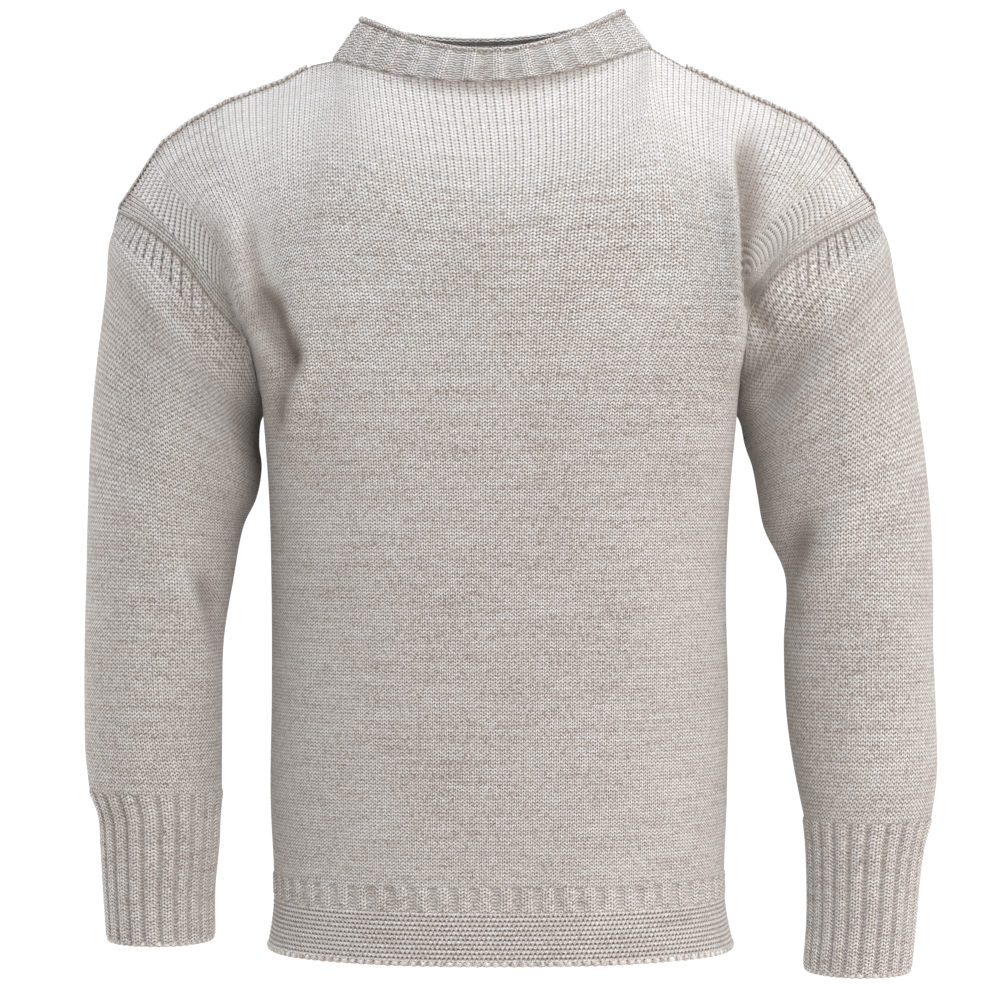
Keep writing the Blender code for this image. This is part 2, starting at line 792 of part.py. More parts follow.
def low_places():
    """Places of all columns on the lower body."""
    return np.array([side * column.low for side, column in panel_columns()])


def column_points(face, side, column, levels):
    """Points up one column of a panel."""
    return np.array([body_row(face, level, [column_place(side, column, level)])[0] for level in levels])


def bead_levels(face, side, column):
    """Levels of the foot and the crest of the ridge along the shoulder seam."""
    near_top = 1.95
    below, top = column_points(face, side, column, [near_top, 2.0])
    levels_per_mm = (2.0 - near_top) / np.linalg.norm(top - below)
    crest = 0.9 * SEAM_BEAD_WIDTH
    foot = 1.9 * SEAM_BEAD_WIDTH
    return [2.0 - foot * levels_per_mm, 2.0 - crest * levels_per_mm]


def body_strand(face, side, column):
    """A column of a panel's outer face, with the ladder and the shoulder ridge in relief."""
    levels = BODY_LEVELS + [1.0 + v for v in YOKE_LEVELS]
    rungs = {}
    if column.kind == "ladder":
        steps = 2 * LADDER_RIDGES
        rungs = {1.0 + k / steps: GARTER_HEIGHT * (1 if k % 2 else -1) for k in range(1, steps)}
        levels = BODY_LEVELS + list(rungs) + [2.0]
    crest = {}
    if column.high > GUSSET_APEX_U:
        foot, top = bead_levels(face, side, column)
        crest = {top: SEAM_BEAD, 2.0: SEAM_BEAD}
        levels = [level for level in levels if level < foot - CLOSEST_LEVELS] + [foot, top, 2.0]
    relief = [crest.get(level, rungs.get(level, 0.0)) for level in levels]
    return Strand(levels, column_points(face, side, column, levels), np.array(relief))


def plain_part(strand, column):
    """The points of a strand that the plain inside shares."""
    chosen = list(range(len(strand.keys)))
    if column.kind == "ladder":
        upper = [k for k in chosen if strand.keys[k] > 1.0]
        chosen = [k for k in chosen if strand.keys[k] <= 1.0] + upper[3:-3:4] + [chosen[-1]]
    return plain_strand([strand.keys[k] for k in chosen], strand.points[chosen])


def body_panel(face):
    """The front or back body."""
    outer = [body_strand(face, side, column) for side, column in panel_columns()]
    inner = [plain_part(strand, column) for strand, (_, column) in zip(outer, panel_columns())
             if column.kind != "flank"]
    return Piece(face + "_body", outer, inner, False, torso_middle)


def torso_middle(point):
    """A place on the garment's axis, level with a point."""
    return np.array([0.0, 0.0, point[2] - 40.0])


# ---------------------------------------------------------------- rib bands and welts
def rib_places(count, low=0.0, high=1.0):
    """Places and heights of raised and sunk ribs, four points to a rib."""
    places = []
    heights = []
    for k in range(count):
        for share, height in ((0.06, 1), (0.44, 1), (0.56, -1), (0.94, -1)):
            places.append(low + (high - low) * (k + share) / count)
            heights.append(height)
    return np.array(places), np.array(heights, dtype=float)


def rib_band(face):
    """The 2x2 rib between the welt and the plain body."""
    columns = low_places()
    places, heights = rib_places(BODY_RIBS, -1.0, 1.0)
    places = np.concatenate([[-1.0], places, [1.0]])
    relief = np.concatenate([[0.0], heights * RIB_HEIGHT, [0.0]])
    outer = [plain_strand(columns, torso_row(face, WELT_TOP_Z, columns))]
    for z in (WELT_TOP_Z + RELIEF_START, RIB_TOP_Z - RELIEF_START):
        outer.append(Strand(list(places), torso_row(face, z, places), relief))
    outer.append(plain_strand(columns, torso_row(face, RIB_TOP_Z, columns)))
    inner = [outer[0], outer[-1]]
    return Piece(face + "_rib_band", outer, inner, False, torso_middle)


def vent_flare(points, z, facing):
    """The welt's side corners stand a little out from the body below the vent's top."""
    drop = (WELT_TOP_Z - z) / (WELT_TOP_Z - HEM_Z)
    near_side = smoothstep((np.abs(points[:, 0]) - VENT_FLARE_FROM) / VENT_FLARE_SPAN)
    flared = points.copy()
    flared[:, 0] += np.sign(points[:, 0]) * VENT_FLARE_OUT * near_side * drop**2
    flared[:, 1] += facing * VENT_FLARE_OPEN * near_side * drop
    return flared


def welt(face):
    """The garter-stitch hem of the front or back, open at the sides."""
    columns = low_places()
    coarse = columns[::2]
    facing = -1 if face == "front" else 1
    outer = [plain_strand(columns, torso_row(face, WELT_TOP_Z, columns))]
    steps = 2 * WELT_RIDGES
    for k in range(1, steps + 1):
        z = WELT_TOP_Z + (HEM_Z - WELT_TOP_Z) * k / steps
        height = GARTER_HEIGHT * (1 if k % 2 else -1)
        relief = np.full(len(coarse), 0.0 if k == steps else height)
        relief[[0, -1]] = 0.0
        points = vent_flare(torso_row(face, z, coarse), z, facing)
        outer.append(Strand(list(coarse), points, relief))
    inner = [outer[0], outer[steps // 2], outer[-1]]
    return Piece(face + "_welt", outer, inner, False, torso_middle)


# ---------------------------------------------------------------- sleeves and cuffs
SIDE_NAMES = {1: "left", -1: "right"}


def armhole_turns():
    """Places round an armhole that the body's rows share with the sleeve."""
    front = [(1 - v) / 2 for v in reversed([0.0] + YOKE_LEVELS)]
    back = [(1 + v) / 2 for v in YOKE_LEVELS[:-1]]
    return np.array(front + back)


def sleeve_middle(side):
    """A function that gives a place on the sleeve's axis near a point."""
    axis = np.array([ring_points(side, ring, np.array([0.0, 0.5])).mean(axis=0)
                     for ring in SLEEVE_RINGS[side] + CUFF_RINGS[side]])

    def middle(point):
        gaps = np.linalg.norm(axis - point, axis=1)
        return axis[int(np.argmin(gaps))]

    return middle


def sleeve(side):
    """A sleeve, with the short ribs of its head."""
    turns = armhole_turns()
    head_start = SLEEVE_HEAD_START / SLEEVE_LENGTH
    head_end = SLEEVE_HEAD_LENGTH / SLEEVE_LENGTH
    outer = [plain_strand(turns, sleeve_row(side, 0.0, turns))]
    rib_turns = np.arange(2 * SLEEVE_HEAD_RIBS) / (2 * SLEEVE_HEAD_RIBS)
    zigzag = GARTER_HEIGHT * np.where(np.arange(len(rib_turns)) % 2 == 0, 1.0, -1.0)
    zigzag *= smoothstep((np.abs(rib_turns - 0.5) - PLAIN_UNDERARM) / PLAIN_UNDERARM)
    for level in (head_start, head_end):
        outer.append(Strand(list(rib_turns), sleeve_row(side, level, rib_turns), zigzag))
    levels = [level for level in SLEEVE_LEVELS if level > head_end]
    outer += [plain_strand(turns, sleeve_row(side, level, turns)) for level in levels]
    inner = [outer[0], one_a_rib(outer[2])] + outer[3:]
    return Piece("sleeve_" + SIDE_NAMES[side], outer, inner, True, sleeve_middle(side))


def cuff(side):
    """A ribbed cuff with an open end."""
    turns = matched_turns(side, armhole_turns())
    places, heights = rib_places(CUFF_RIBS)
    outer = [plain_strand(turns, cuff_row(side, 0.0, turns))]
    for level in CUFF_LEVELS:
        outer.append(Strand(list(places), cuff_row(side, level, places), heights * RIB_HEIGHT))
    outer.append(plain_strand(turns, cuff_row(side, 1.0, turns)))
    inner = [outer[0]] + [one_a_rib(strand) for strand in outer[2:-2]] + [outer[-1]]
    return Piece("cuff_" + SIDE_NAMES[side], outer, inner, True, sleeve_middle(side))


# ---------------------------------------------------------------- collar and gussets
def collar_row(height, turns):
    """Points round the collar; a turn of 0 is the front and 0.25 the wearer's left."""
    rings = (NECK_BASE, NECK_MIDDLE, NECK_TOP)
    ring = NeckRing(*curve([0.0, 0.5, 1.0], rings, height)[0])
    return np.array([neck_point(ring, turn * 2 * math.pi) for turn in turns])


def neck_turns():
    """Places round the neckline that the panels and gussets share with the collar."""
    places = [column.high for column in HALF_COLUMNS if column.high <= NECK_CORNER_U]
    front = [neck_angle("front", place) / (2 * math.pi) for place in places]
    half = front + [0.25] + [0.5 - turn for turn in reversed(front)]
    return np.array(half + [1.0 - turn for turn in reversed(half[1:-1])])


def collar():
    """The ribbed stand collar with its rolled edge."""
    turns = neck_turns()
    places, heights = rib_places(COLLAR_RIBS)
    outer = [plain_strand(turns, collar_row(0.0, turns))]
    for level in COLLAR_RIB_LEVELS:
        outer.append(Strand(list(places), collar_row(level, places), heights * RIB_HEIGHT))
    edge_turns = np.arange(COLLAR_EDGE_POINTS) / COLLAR_EDGE_POINTS
    for level, height in COLLAR_EDGE:
        relief = np.full(len(edge_turns), height)
        outer.append(Strand(list(edge_turns), collar_row(level, edge_turns), relief))
    inner = [outer[0], one_a_rib(outer[2]), outer[4], outer[-1]]
    return Piece("collar", outer, inner, True, torso_middle)


def neck_gusset(side):
    """The small plain triangle between the collar and the shoulder seam."""
    front, apex = top_row("front", [side * NECK_CORNER_U, side * GUSSET_APEX_U])
    back = top_row("back", [side * NECK_CORNER_U])[0]
    base = neck_point(NECK_BASE, side * math.pi / 2)
    outer = [plain_strand([0.0, 0.5, 1.0], np.array([front, base, back]))]
    outer.append(plain_strand([0.0], np.array([apex])))
    return Piece("neck_gusset_" + SIDE_NAMES[side], outer, outer, False, torso_middle)


# ---------------------------------------------------------------- building
def add_object(name, points, faces, collection):
    """A mesh object in metres, with its own material."""
    mesh = bpy.data.meshes.new(name)
    bm = bmesh.new()
    verts = [bm.verts.new(point * MM) for point in points]
    for face in faces:
        corners = [verts[index] for index in face]
        if len(set(corners)) > 2:
            bm.faces.new(corners)
    bmesh.ops.triangulate(bm, faces=[face for face in bm.faces if len(face.verts) > 3])
    bmesh.ops.recalc_face_normals(bm, faces=bm.faces)
    bm.to_mesh(mesh)
    bm.free()
    thing = bpy.data.objects.new(name, mesh)
    collection.objects.link(thing)
    material = bpy.data.materials.new(name + "_wool")
    material.use_nodes = True
    shader = material.node_tree.nodes["Principled BSDF"]
    shader.inputs["Base Color"].default_value = (*WOOL_COLOUR, 1.0)
    shader.inputs["Roughness"].default_value = WOOL_ROUGHNESS
    mesh.materials.append(material)


def main():
    """Clear the scene and build every piece."""
    for thing in list(bpy.data.objects):
        bpy.data.objects.remove(thing, do_unlink=True)
    collection = bpy.data.collections.new("guernsey_sweater")
    bpy.context.scene.collection.children.link(collection)
    pieces = [body_panel("front"), body_panel("back"), rib_band("front"), rib_band("back")]
    pieces += [welt("front"), welt("back"), sleeve(1), sleeve(-1), cuff(1), cuff(-1), collar()]
    pieces += [neck_gusset(1), neck_gusset(-1)]
    skins = [Skin(piece.outer, piece.closed) for piece in pieces]
    inners = [Skin(piece.inner, piece.closed) for piece in pieces]
    normals = seam_normals(skins, pieces)
    shifts = [crease_shift(skin.points, normal) for skin, normal in zip(skins, normals)]
    for skin, inner, normal, shift in zip(skins, inners, normals, shifts):
        moved = skin.points + normal * shift[:, None]
        table = {place_key(point): new for point, new in zip(skin.points, moved)}
        inner.points = np.array([table[place_key(point)] for point in inner.points])
        skin.points = moved
    shared = seam_normals(skins, pieces)
    for piece, skin, normal, inner in zip(pieces, skins, shared, inners):
        points, faces = wall_mesh(skin, wall_normals(skin, piece, normal), inner)
        add_object(piece.name, points, faces, collection)


main()
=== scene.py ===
"""Guernsey fisherman sweater: the knitted pieces, made finer than the solids that they replace.

Each piece is a thin wall of knitting on the same smooth surface as its solid, with its ribs, garter
ridges and creases in the mesh and its single stitches in the material. Tables are in millimetres
and become metres when a mesh is made. +Z is up, the wearer faces -Y, and +X is the wearer's left.
"""
from __future__ import annotations
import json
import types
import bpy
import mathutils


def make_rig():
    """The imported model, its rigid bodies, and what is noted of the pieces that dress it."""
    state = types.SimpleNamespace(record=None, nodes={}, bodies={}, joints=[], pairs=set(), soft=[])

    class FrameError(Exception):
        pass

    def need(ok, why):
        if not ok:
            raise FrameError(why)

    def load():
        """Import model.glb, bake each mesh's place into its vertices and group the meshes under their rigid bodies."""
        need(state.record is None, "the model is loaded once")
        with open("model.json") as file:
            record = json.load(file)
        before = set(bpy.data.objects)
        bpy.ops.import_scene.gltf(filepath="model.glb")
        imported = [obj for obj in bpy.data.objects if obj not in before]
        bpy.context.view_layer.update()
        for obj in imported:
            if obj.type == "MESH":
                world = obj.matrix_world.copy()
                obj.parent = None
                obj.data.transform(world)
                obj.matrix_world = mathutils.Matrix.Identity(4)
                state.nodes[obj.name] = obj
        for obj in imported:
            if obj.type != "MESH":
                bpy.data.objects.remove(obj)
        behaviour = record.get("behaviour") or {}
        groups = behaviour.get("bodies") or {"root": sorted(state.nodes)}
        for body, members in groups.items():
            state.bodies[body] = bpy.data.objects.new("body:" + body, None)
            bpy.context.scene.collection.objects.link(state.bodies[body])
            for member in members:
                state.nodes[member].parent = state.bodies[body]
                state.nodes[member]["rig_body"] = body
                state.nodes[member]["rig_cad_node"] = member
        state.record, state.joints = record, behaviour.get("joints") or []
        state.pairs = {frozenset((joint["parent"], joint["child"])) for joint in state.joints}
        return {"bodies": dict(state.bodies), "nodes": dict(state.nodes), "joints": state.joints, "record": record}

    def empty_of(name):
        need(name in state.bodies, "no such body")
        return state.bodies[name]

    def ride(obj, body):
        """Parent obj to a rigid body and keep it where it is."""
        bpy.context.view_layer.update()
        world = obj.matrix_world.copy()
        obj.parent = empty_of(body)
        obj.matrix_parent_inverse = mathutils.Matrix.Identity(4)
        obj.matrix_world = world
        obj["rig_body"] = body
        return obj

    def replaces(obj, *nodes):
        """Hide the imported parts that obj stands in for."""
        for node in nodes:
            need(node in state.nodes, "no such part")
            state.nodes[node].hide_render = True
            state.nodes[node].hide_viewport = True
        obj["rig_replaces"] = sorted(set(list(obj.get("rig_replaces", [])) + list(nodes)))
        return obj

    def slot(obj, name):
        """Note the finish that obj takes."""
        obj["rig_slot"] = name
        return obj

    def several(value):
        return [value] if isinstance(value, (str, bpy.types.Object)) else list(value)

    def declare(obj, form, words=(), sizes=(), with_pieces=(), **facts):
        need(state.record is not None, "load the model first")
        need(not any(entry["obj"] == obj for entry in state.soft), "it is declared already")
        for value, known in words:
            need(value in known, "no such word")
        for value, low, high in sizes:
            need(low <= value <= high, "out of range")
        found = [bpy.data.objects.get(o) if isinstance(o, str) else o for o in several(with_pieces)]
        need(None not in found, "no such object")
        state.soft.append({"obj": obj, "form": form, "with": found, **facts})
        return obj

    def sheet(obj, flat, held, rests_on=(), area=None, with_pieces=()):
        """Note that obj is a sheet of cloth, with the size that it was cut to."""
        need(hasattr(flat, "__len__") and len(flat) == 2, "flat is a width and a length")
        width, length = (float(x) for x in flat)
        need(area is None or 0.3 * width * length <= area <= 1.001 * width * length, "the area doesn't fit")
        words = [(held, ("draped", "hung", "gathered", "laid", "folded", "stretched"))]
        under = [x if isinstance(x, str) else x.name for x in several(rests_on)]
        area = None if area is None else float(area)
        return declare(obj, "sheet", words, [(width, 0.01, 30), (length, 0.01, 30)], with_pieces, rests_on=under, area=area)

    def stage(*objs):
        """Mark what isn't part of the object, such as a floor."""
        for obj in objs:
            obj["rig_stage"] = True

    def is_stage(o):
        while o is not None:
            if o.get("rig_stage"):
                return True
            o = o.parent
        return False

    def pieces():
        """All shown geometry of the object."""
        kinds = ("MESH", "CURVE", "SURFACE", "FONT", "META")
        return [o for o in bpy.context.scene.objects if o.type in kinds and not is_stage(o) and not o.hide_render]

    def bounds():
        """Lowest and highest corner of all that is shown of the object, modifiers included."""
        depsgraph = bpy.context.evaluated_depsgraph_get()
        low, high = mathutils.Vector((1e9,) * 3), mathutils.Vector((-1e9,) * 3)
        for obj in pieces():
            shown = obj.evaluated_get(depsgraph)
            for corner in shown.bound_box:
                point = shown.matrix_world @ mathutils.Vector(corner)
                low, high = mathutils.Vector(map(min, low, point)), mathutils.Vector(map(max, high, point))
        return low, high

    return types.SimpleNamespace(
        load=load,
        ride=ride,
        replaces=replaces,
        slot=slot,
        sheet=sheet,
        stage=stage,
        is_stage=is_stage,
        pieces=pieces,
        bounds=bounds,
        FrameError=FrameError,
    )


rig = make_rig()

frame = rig.load()
CAD_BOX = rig.bounds()

import json
import logging
import math
from dataclasses import dataclass, field
from enum import Enum
from typing import Callable, NamedTuple, Sequence

import bpy
import numpy as np
from mathutils import Vector

LOG = logging.getLogger("guernsey")

# -------- shared sizes (mm)
MM = 0.001
WALL = 2.6
SEAM_GAP = 0.06         # between the edges of neighbouring pieces
UNDERARM_Z = -262.0
RIB_TOP_Z = -618.0
WELT_TOP_Z = -636.0
HEM_Z = -676.0
YOKE_HEIGHT = 246.0
GUIDE_TAIL = 0.3        # how far the guides reach below the underarm, in yoke heights
FOOT_REACH = 0.6        # the share of the yoke that its lowest row shapes
HEAD_REACH = 0.7        # the share that its top edge shapes
NECK_SOFTENING = 0.30   # how far the top edge's shape spreads sideways lower down
STRAIGHT_UNTIL_V = 0.35     # the yoke's level up to which its columns run straight
SLEEVE_HEAD_LENGTH = 19.0
TINY = 1e-9             # under this a length counts as none

# Places across a body panel, from 0 at its centre to 1 at its side seam
NECK_CORNER_U = 0.44
GUSSET_APEX_U = 0.50
FOLD_U = 0.63
SHOULDER_U = 0.80

# Stitches
COURSE = 2.6            # height of a row of stitches
WALES_HALF = 73         # from a panel's centre to its side seam
COURSES_LOW = 137       # from the rib band to the underarm
COURSES_YOKE = 95
WELT_RIDGES = 11
BODY_RIBS = 32
COLLAR_RIBS = 33
CUFF_RIBS = 22

SIDE_NAMES = {1: "left", -1: "right"}


# -------- tables of sections
def table(row: type, *values: tuple) -> list:
    """Rows of a table, each from the tuple of its columns."""
    return [row(*columns) for columns in values]


class LadderEdge(NamedTuple):
    """Where a ladder begins and ends across the panel at a level of the yoke."""
    v: float
    inner: float
    outer: float


LADDER_EDGES = {
    1: table(
        LadderEdge,
        (0.0, 0.788, 0.894), (0.30, 0.700, 0.830), (0.45, 0.655, 0.800), (0.50, 0.662, 0.815),
        (0.60, 0.745, 0.880), (0.70, 0.765, 0.904), (0.90, 0.787, 0.894), (1.0, 0.788, 0.894),
    ),
    -1: table(
        LadderEdge,
        (0.0, 0.788, 0.894), (0.50, 0.788, 0.894), (0.60, 0.788, 0.915), (0.80, 0.788, 0.932),
        (1.0, 0.788, 0.894),
    ),
}


class TorsoRing(NamedTuple):
    """A level cross-section of the body: half widths, front, back and side depth."""
    z: float
    left_x: float
    right_x: float
    front_y: float
    back_y: float
    side_y: float
    squareness: float


TORSO_RINGS = table(
    TorsoRing,
    (-676, 177, 176, -133, 120, -2, 2.5),
    (-636, 174, 175, -131, 118, -2, 2.5),
    (-560, 176, 178, -131, 116, -2, 2.5),
    (-480, 177, 177, -132, 114, -2, 2.5),
    (-400, 175, 177, -132, 112, -2, 2.7),
    (-330, 177, 178, -131, 114, -2, 3.3),
    (-262, 182, 182, -129, 116, 0, 4.2),
    (-200, 186, 186, -127, 117, 0, 4.6),
)


class GuidePoint(NamedTuple):
    """A point of a lengthwise guide; v runs from the underarm level (0) to the top edge (1)."""
    v: float
    x: float
    y: float
    z: float


CENTRE_FRONT = table(
    GuidePoint,
    (0.25, 0, -126, -200), (0.50, 0, -119, -138), (0.75, 0, -104, -77),
)
CENTRE_BACK = table(
    GuidePoint,
    (0.25, 0, 118, -193), (0.50, 0, 115, -124), (0.75, 0, 101, -54),
)

# For each side of the front, x is the distance from the centre line.
FRONT_FOLD = {
    1: table(
        GuidePoint,
        (0.20, 178, -108, -213), (0.40, 179, -106, -166), (0.60, 177, -97, -117),
        (0.80, 180, -68, -61),
    ),
    -1: table(
        GuidePoint,
        (0.20, 170, -106, -214), (0.40, 172, -104, -166), (0.60, 180, -96, -117),
        (0.80, 188, -66, -61),
    ),
}
FRONT_SHOULDER = {
    1: table(
        GuidePoint,
        (0.20, 181, -84, -217), (0.40, 183, -95, -173), (0.60, 204, -86, -132),
        (0.80, 232, -57, -84),
    ),
    -1: table(
        GuidePoint,
        (0.20, 184, -83, -220), (0.40, 192, -97, -180), (0.60, 210, -89, -138),
        (0.80, 237, -57, -88),
    ),
}
FRONT_ARMHOLE = {
    1: table(
        GuidePoint,
        (0.15, 184, -28, -252), (0.30, 185, -52, -229), (0.45, 188, -74, -198),
        (0.60, 206, -84, -163), (0.75, 237, -70, -139), (0.90, 273, -36, -119),
    ),
    -1: table(
        GuidePoint,
        (0.15, 184, -28, -252), (0.30, 186, -52, -235), (0.45, 193, -73, -210),
        (0.60, 216, -82, -183), (0.75, 241, -70, -150), (0.90, 276, -36, -120),
    ),
}
# The back is alike on both sides.
BACK_BLADE = table(
    GuidePoint,
    (0.20, 172, 98, -213), (0.40, 178, 98, -164), (0.60, 184, 92, -114), (0.80, 188, 66, -58),
)
BACK_SHOULDER = table(
    GuidePoint,
    (0.20, 184, 68, -222), (0.40, 196, 84, -176), (0.60, 214, 82, -130), (0.80, 236, 56, -84),
)
BACK_ARMHOLE = table(
    GuidePoint,
    (0.15, 184, 36, -250), (0.30, 190, 62, -226), (0.45, 203, 76, -197), (0.60, 222, 79, -171),
    (0.75, 246, 67, -145), (0.90, 276, 36, -120),
)


class NeckRing(NamedTuple):
    """A level of the collar: centre, half widths, front and back depth, heights and tilt."""
    centre_x: float
    half_x: float
    front_y: float
    back_y: float
    front_z: float
    side_z: float
    back_z: float
    tilt: float


# The left side stands higher than the right by twice the tilt.
NECK_BASE = NeckRing(-6, 125, -80, 76, -16, 15, 10, 5)
NECK_MIDDLE = NeckRing(-6, 113, -77, 73, -3, 31, 24, 4)
NECK_TOP = NeckRing(-6, 101.5, -69, 67, 11, 47.5, 39, 3)
GUSSET_HALF_ANGLE = math.radians(13)


class SeamPoint(NamedTuple):
    """A point of the shoulder seam: height, and distance from the centre on each side."""
    z: float
    left_x: float
    right_x: float


SHOULDER_SEAM = table(
    SeamPoint,
    (7, 142.5, 148), (-6, 170.5, 170.5), (-21, 204.5, 211.5), (-37, 239.5, 241.5),
    (-53, 258.5, 262.5), (-67, 269.5, 272.5), (-83, 278.5, 282.5), (-98, 288.5, 292.5),
    (-107, 293.5, 298.5),
)


class SleeveRing(NamedTuple):
    """A cross-section of a sleeve or cuff: outer and inner side, centre depth, half depth."""
    outer_x: float
    outer_z: float
    inner_x: float
    inner_z: float
    centre_y: float
    half_depth: float
    squareness: float = 2.1


# x is the distance from the garment's centre line.
SLEEVE_RINGS = {
    1: table(
        SleeveRing,
        (301, -129, 188, -273, -1, 78),
        (308, -166, 191, -288, -1, 77),
        (319, -222, 197, -306, -2, 75),
        (328, -280, 201, -328, -3, 72),
        (334, -338, 206, -354, -4, 69),
        (336, -392, 222, -390, -6, 66),
        (336, -445, 221, -445, -8, 63),
        (338, -500, 223, -500, -10, 60),
        (338, -548, 230, -548, -12, 55),
        (334, -577, 236, -577, -13, 50),
    ),
    -1: table(
        SleeveRing,
        (303, -129, 187, -272, -1, 78),
        (306, -166, 188, -288, -1, 77),
        (313, -222, 186, -306, -2, 75),
        (318, -280, 190, -330, -3, 72),
        (320, -338, 200, -352, -4, 69),
        (321, -390, 208, -395, -6, 66),
        (322, -440, 215, -440, -8, 63),
        (322, -490, 216, -490, -10, 59),
        (321, -528, 216, -528, -12, 54),
        (318, -555, 216, -555, -13, 50),
    ),
}
CUFF_RINGS = {
    1: table(
        SleeveRing,
        (334, -577, 236, -577, -13, 50),
        (328, -597, 238, -597, -14, 48),
        (324, -622, 239, -622, -15, 47),
        (321, -655, 239, -655, -16, 46),
        (317, -695, 236, -695, -17, 46),
    ),
    -1: table(
        SleeveRing,
        (318, -555, 216, -555, -13, 50),
        (310, -575, 218, -575, -14, 48),
        (308, -598, 219, -598, -15, 47),
        (306, -630, 222, -630, -16, 46),
        (303, -671, 222, -671, -17, 46),
    ),
}


class Crease(NamedTuple):
    """A fold along a bent line.

    Attributes:
        facing: -1 on the front and +1 on the back.
        start, middle, end: x and z of the line's points.
        width: from the line to where the fold has died away to a third.
        depth: above 0 for a ridge and below 0 for a trough.
    """
    facing: int
    start: tuple
    middle: tuple
    end: tuple
    width: float
    depth: float


CREASES = table(
    Crease,
    (-1, (192, -30), (192, -92), (189, -150), 11, -7),
    (-1, (180, -60), (178, -160), (166, -300), 12, 6),
    (-1, (202, -264), (218, -234), (246, -192), 15, -5),
    (-1, (216, -290), (238, -244), (268, -190), 15, 4),
    (-1, (276, -320), (242, -388), (224, -416), 13, 7),
    (-1, (238, -328), (220, -392), (206, -456), 12, -7),
    (-1, (-228, -86), (-195, -152), (-168, -252), 13, 7),
    (-1, (-177, -166), (-165, -208), (-150, -240), 10, -10),
    (-1, (-144, -200), (-151, -236), (-170, -282), 9, 5),
    (-1, (-258, -372), (-235, -425), (-213, -512), 11, 6),
    (-1, (-232, -378), (-217, -425), (-211, -470), 9, -6),
    (1, (200, -90), (188, -165), (176, -245), 14, -8),
    (1, (-202, -88), (-190, -165), (-176, -245), 14, -8),
    (1, (180, -95), (168, -190), (156, -290), 16, 6),
    (1, (-182, -95), (-170, -190), (-158, -290), 16, 6),
    (1, (316, -315), (270, -372), (224, -400), 15, -7),
    (1, (-304, -325), (-262, -380), (-214, -410), 15, -7),
    (1, (206, -276), (246, -238), (290, -204), 15, -6),
    (1, (-204, -276), (-244, -240), (-286, -206), 15, -6),
)

# Smaller wrinkles, which only the knitting has.
WRINKLES = table(
    Crease,
    (-1, (172, -72), (174, -140), (172, -220), 6, 4),
    (-1, (183, -44), (184, -120), (182, -206), 6, -9),
    (-1, (186, -160), (193, -186), (203, -212), 8, -6),
    (-1, (172, -246), (193, -232), (216, -204), 9, -4),
    (-1, (-192, -104), (-183, -164), (-160, -232), 7, -5),
    (-1, (-150, -206), (-160, -246), (-178, -300), 8, -7),
    (-1, (-140, -216), (-147, -250), (-160, -292), 6, 3),
    (-1, (-200, -104), (-192, -164), (-178, -230), 8, 3),
    (-1, (-236, -190), (-252, -262), (-258, -330), 13, 3),
    (-1, (268, -200), (262, -262), (270, -330), 13, 3),
    (-1, (150, -300), (110, -326), (60, -330), 16, -1.6),
    (-1, (-150, -305), (-108, -330), (-50, -334), 16, -1.6),
    (1, (120, -80), (60, -96), (-10, -92), 16, -2),
    (1, (-150, -300), (-90, -330), (-20, -336), 16, 2),
    (1, (150, -306), (96, -338), (30, -344), 16, -2),
)


# -------- curves
def curve(knots: Sequence[float], values: Sequence, places: Sequence[float]) -> np.ndarray:
    """Cubic curve through values at knots.

    Args:
        knots: increasing parameters.
        values: one value or array for each knot.
        places: where to read the curve.

    Returns:
        One row for each place.
    """
    knots = np.asarray(knots, dtype=float)
    values = np.asarray(values, dtype=float)
    places = np.atleast_1d(np.asarray(places, dtype=float))
    slopes = np.gradient(values, knots, axis=0)
    span = np.clip(np.searchsorted(knots, places) - 1, 0, len(knots) - 2)
    width = knots[span + 1] - knots[span]
    t = (places - knots[span]) / width
    shape = (len(places),) + (1,) * (values.ndim - 1)
    t = t.reshape(shape)
    width = width.reshape(shape)
    start = (2 * t**3 - 3 * t**2 + 1) * values[span] + (t**3 - 2 * t**2 + t) * width * slopes[span]
    end = (3 * t**2 - 2 * t**3) * values[span + 1] + (t**3 - t**2) * width * slopes[span + 1]
    return start + end


def smoothstep(value: np.ndarray | float) -> np.ndarray | float:
    """Ease from 0 to 1."""
    value = np.clip(value, 0.0, 1.0)
    return value * value * (3 - 2 * value)


class Ease(NamedTuple):
    """A soft step: where it starts, and the stretch over which it goes from 0 to 1."""
    start: float
    over: float

    def rise(self, value: np.ndarray | float) -> np.ndarray | float:
        """0 up to the start, and 1 a stretch above it."""
        return smoothstep((value - self.start) / self.over)

    def fall(self, value: np.ndarray | float) -> np.ndarray | float:
        """0 from the start on, and 1 a stretch below it."""
        return smoothstep((self.start - value) / self.over)


def cosine(turns: np.ndarray) -> np.ndarray:
    """The cosine of an angle in turns."""
    return np.cos(2 * math.pi * turns)


def read_points(places: np.ndarray, keys: np.ndarray, points: np.ndarray) -> np.ndarray:
    """Points on a polyline whose corners stand at rising keys."""
    return np.stack([np.interp(places, keys, points[:, k]) for k in range(3)], axis=1)


def two_runs(split: float, first: int, second: int) -> np.ndarray:
    """Levels from 0 to 1, in even steps up to the split and in others above it."""
    return np.concatenate([np.linspace(0, split, first + 1)[:-1],
                           np.linspace(split, 1, second + 1)])


def along(points: np.ndarray, fractions: np.ndarray) -> np.ndarray:
    """Walk along a polyline.

    Args:
        points: its corners.
        fractions: of its length, from 0 to 1.

    Returns:
        One point for each fraction.
    """
    steps = np.linalg.norm(np.diff(points, axis=0), axis=1)
    length = np.concatenate([[0.0], np.cumsum(steps)])
    return read_points(fractions * length[-1], length, points)


def signed_power(values: np.ndarray, power: float) -> np.ndarray:
    """A power of the values' sizes, with their signs."""
    return np.sign(values) * np.abs(values) ** power


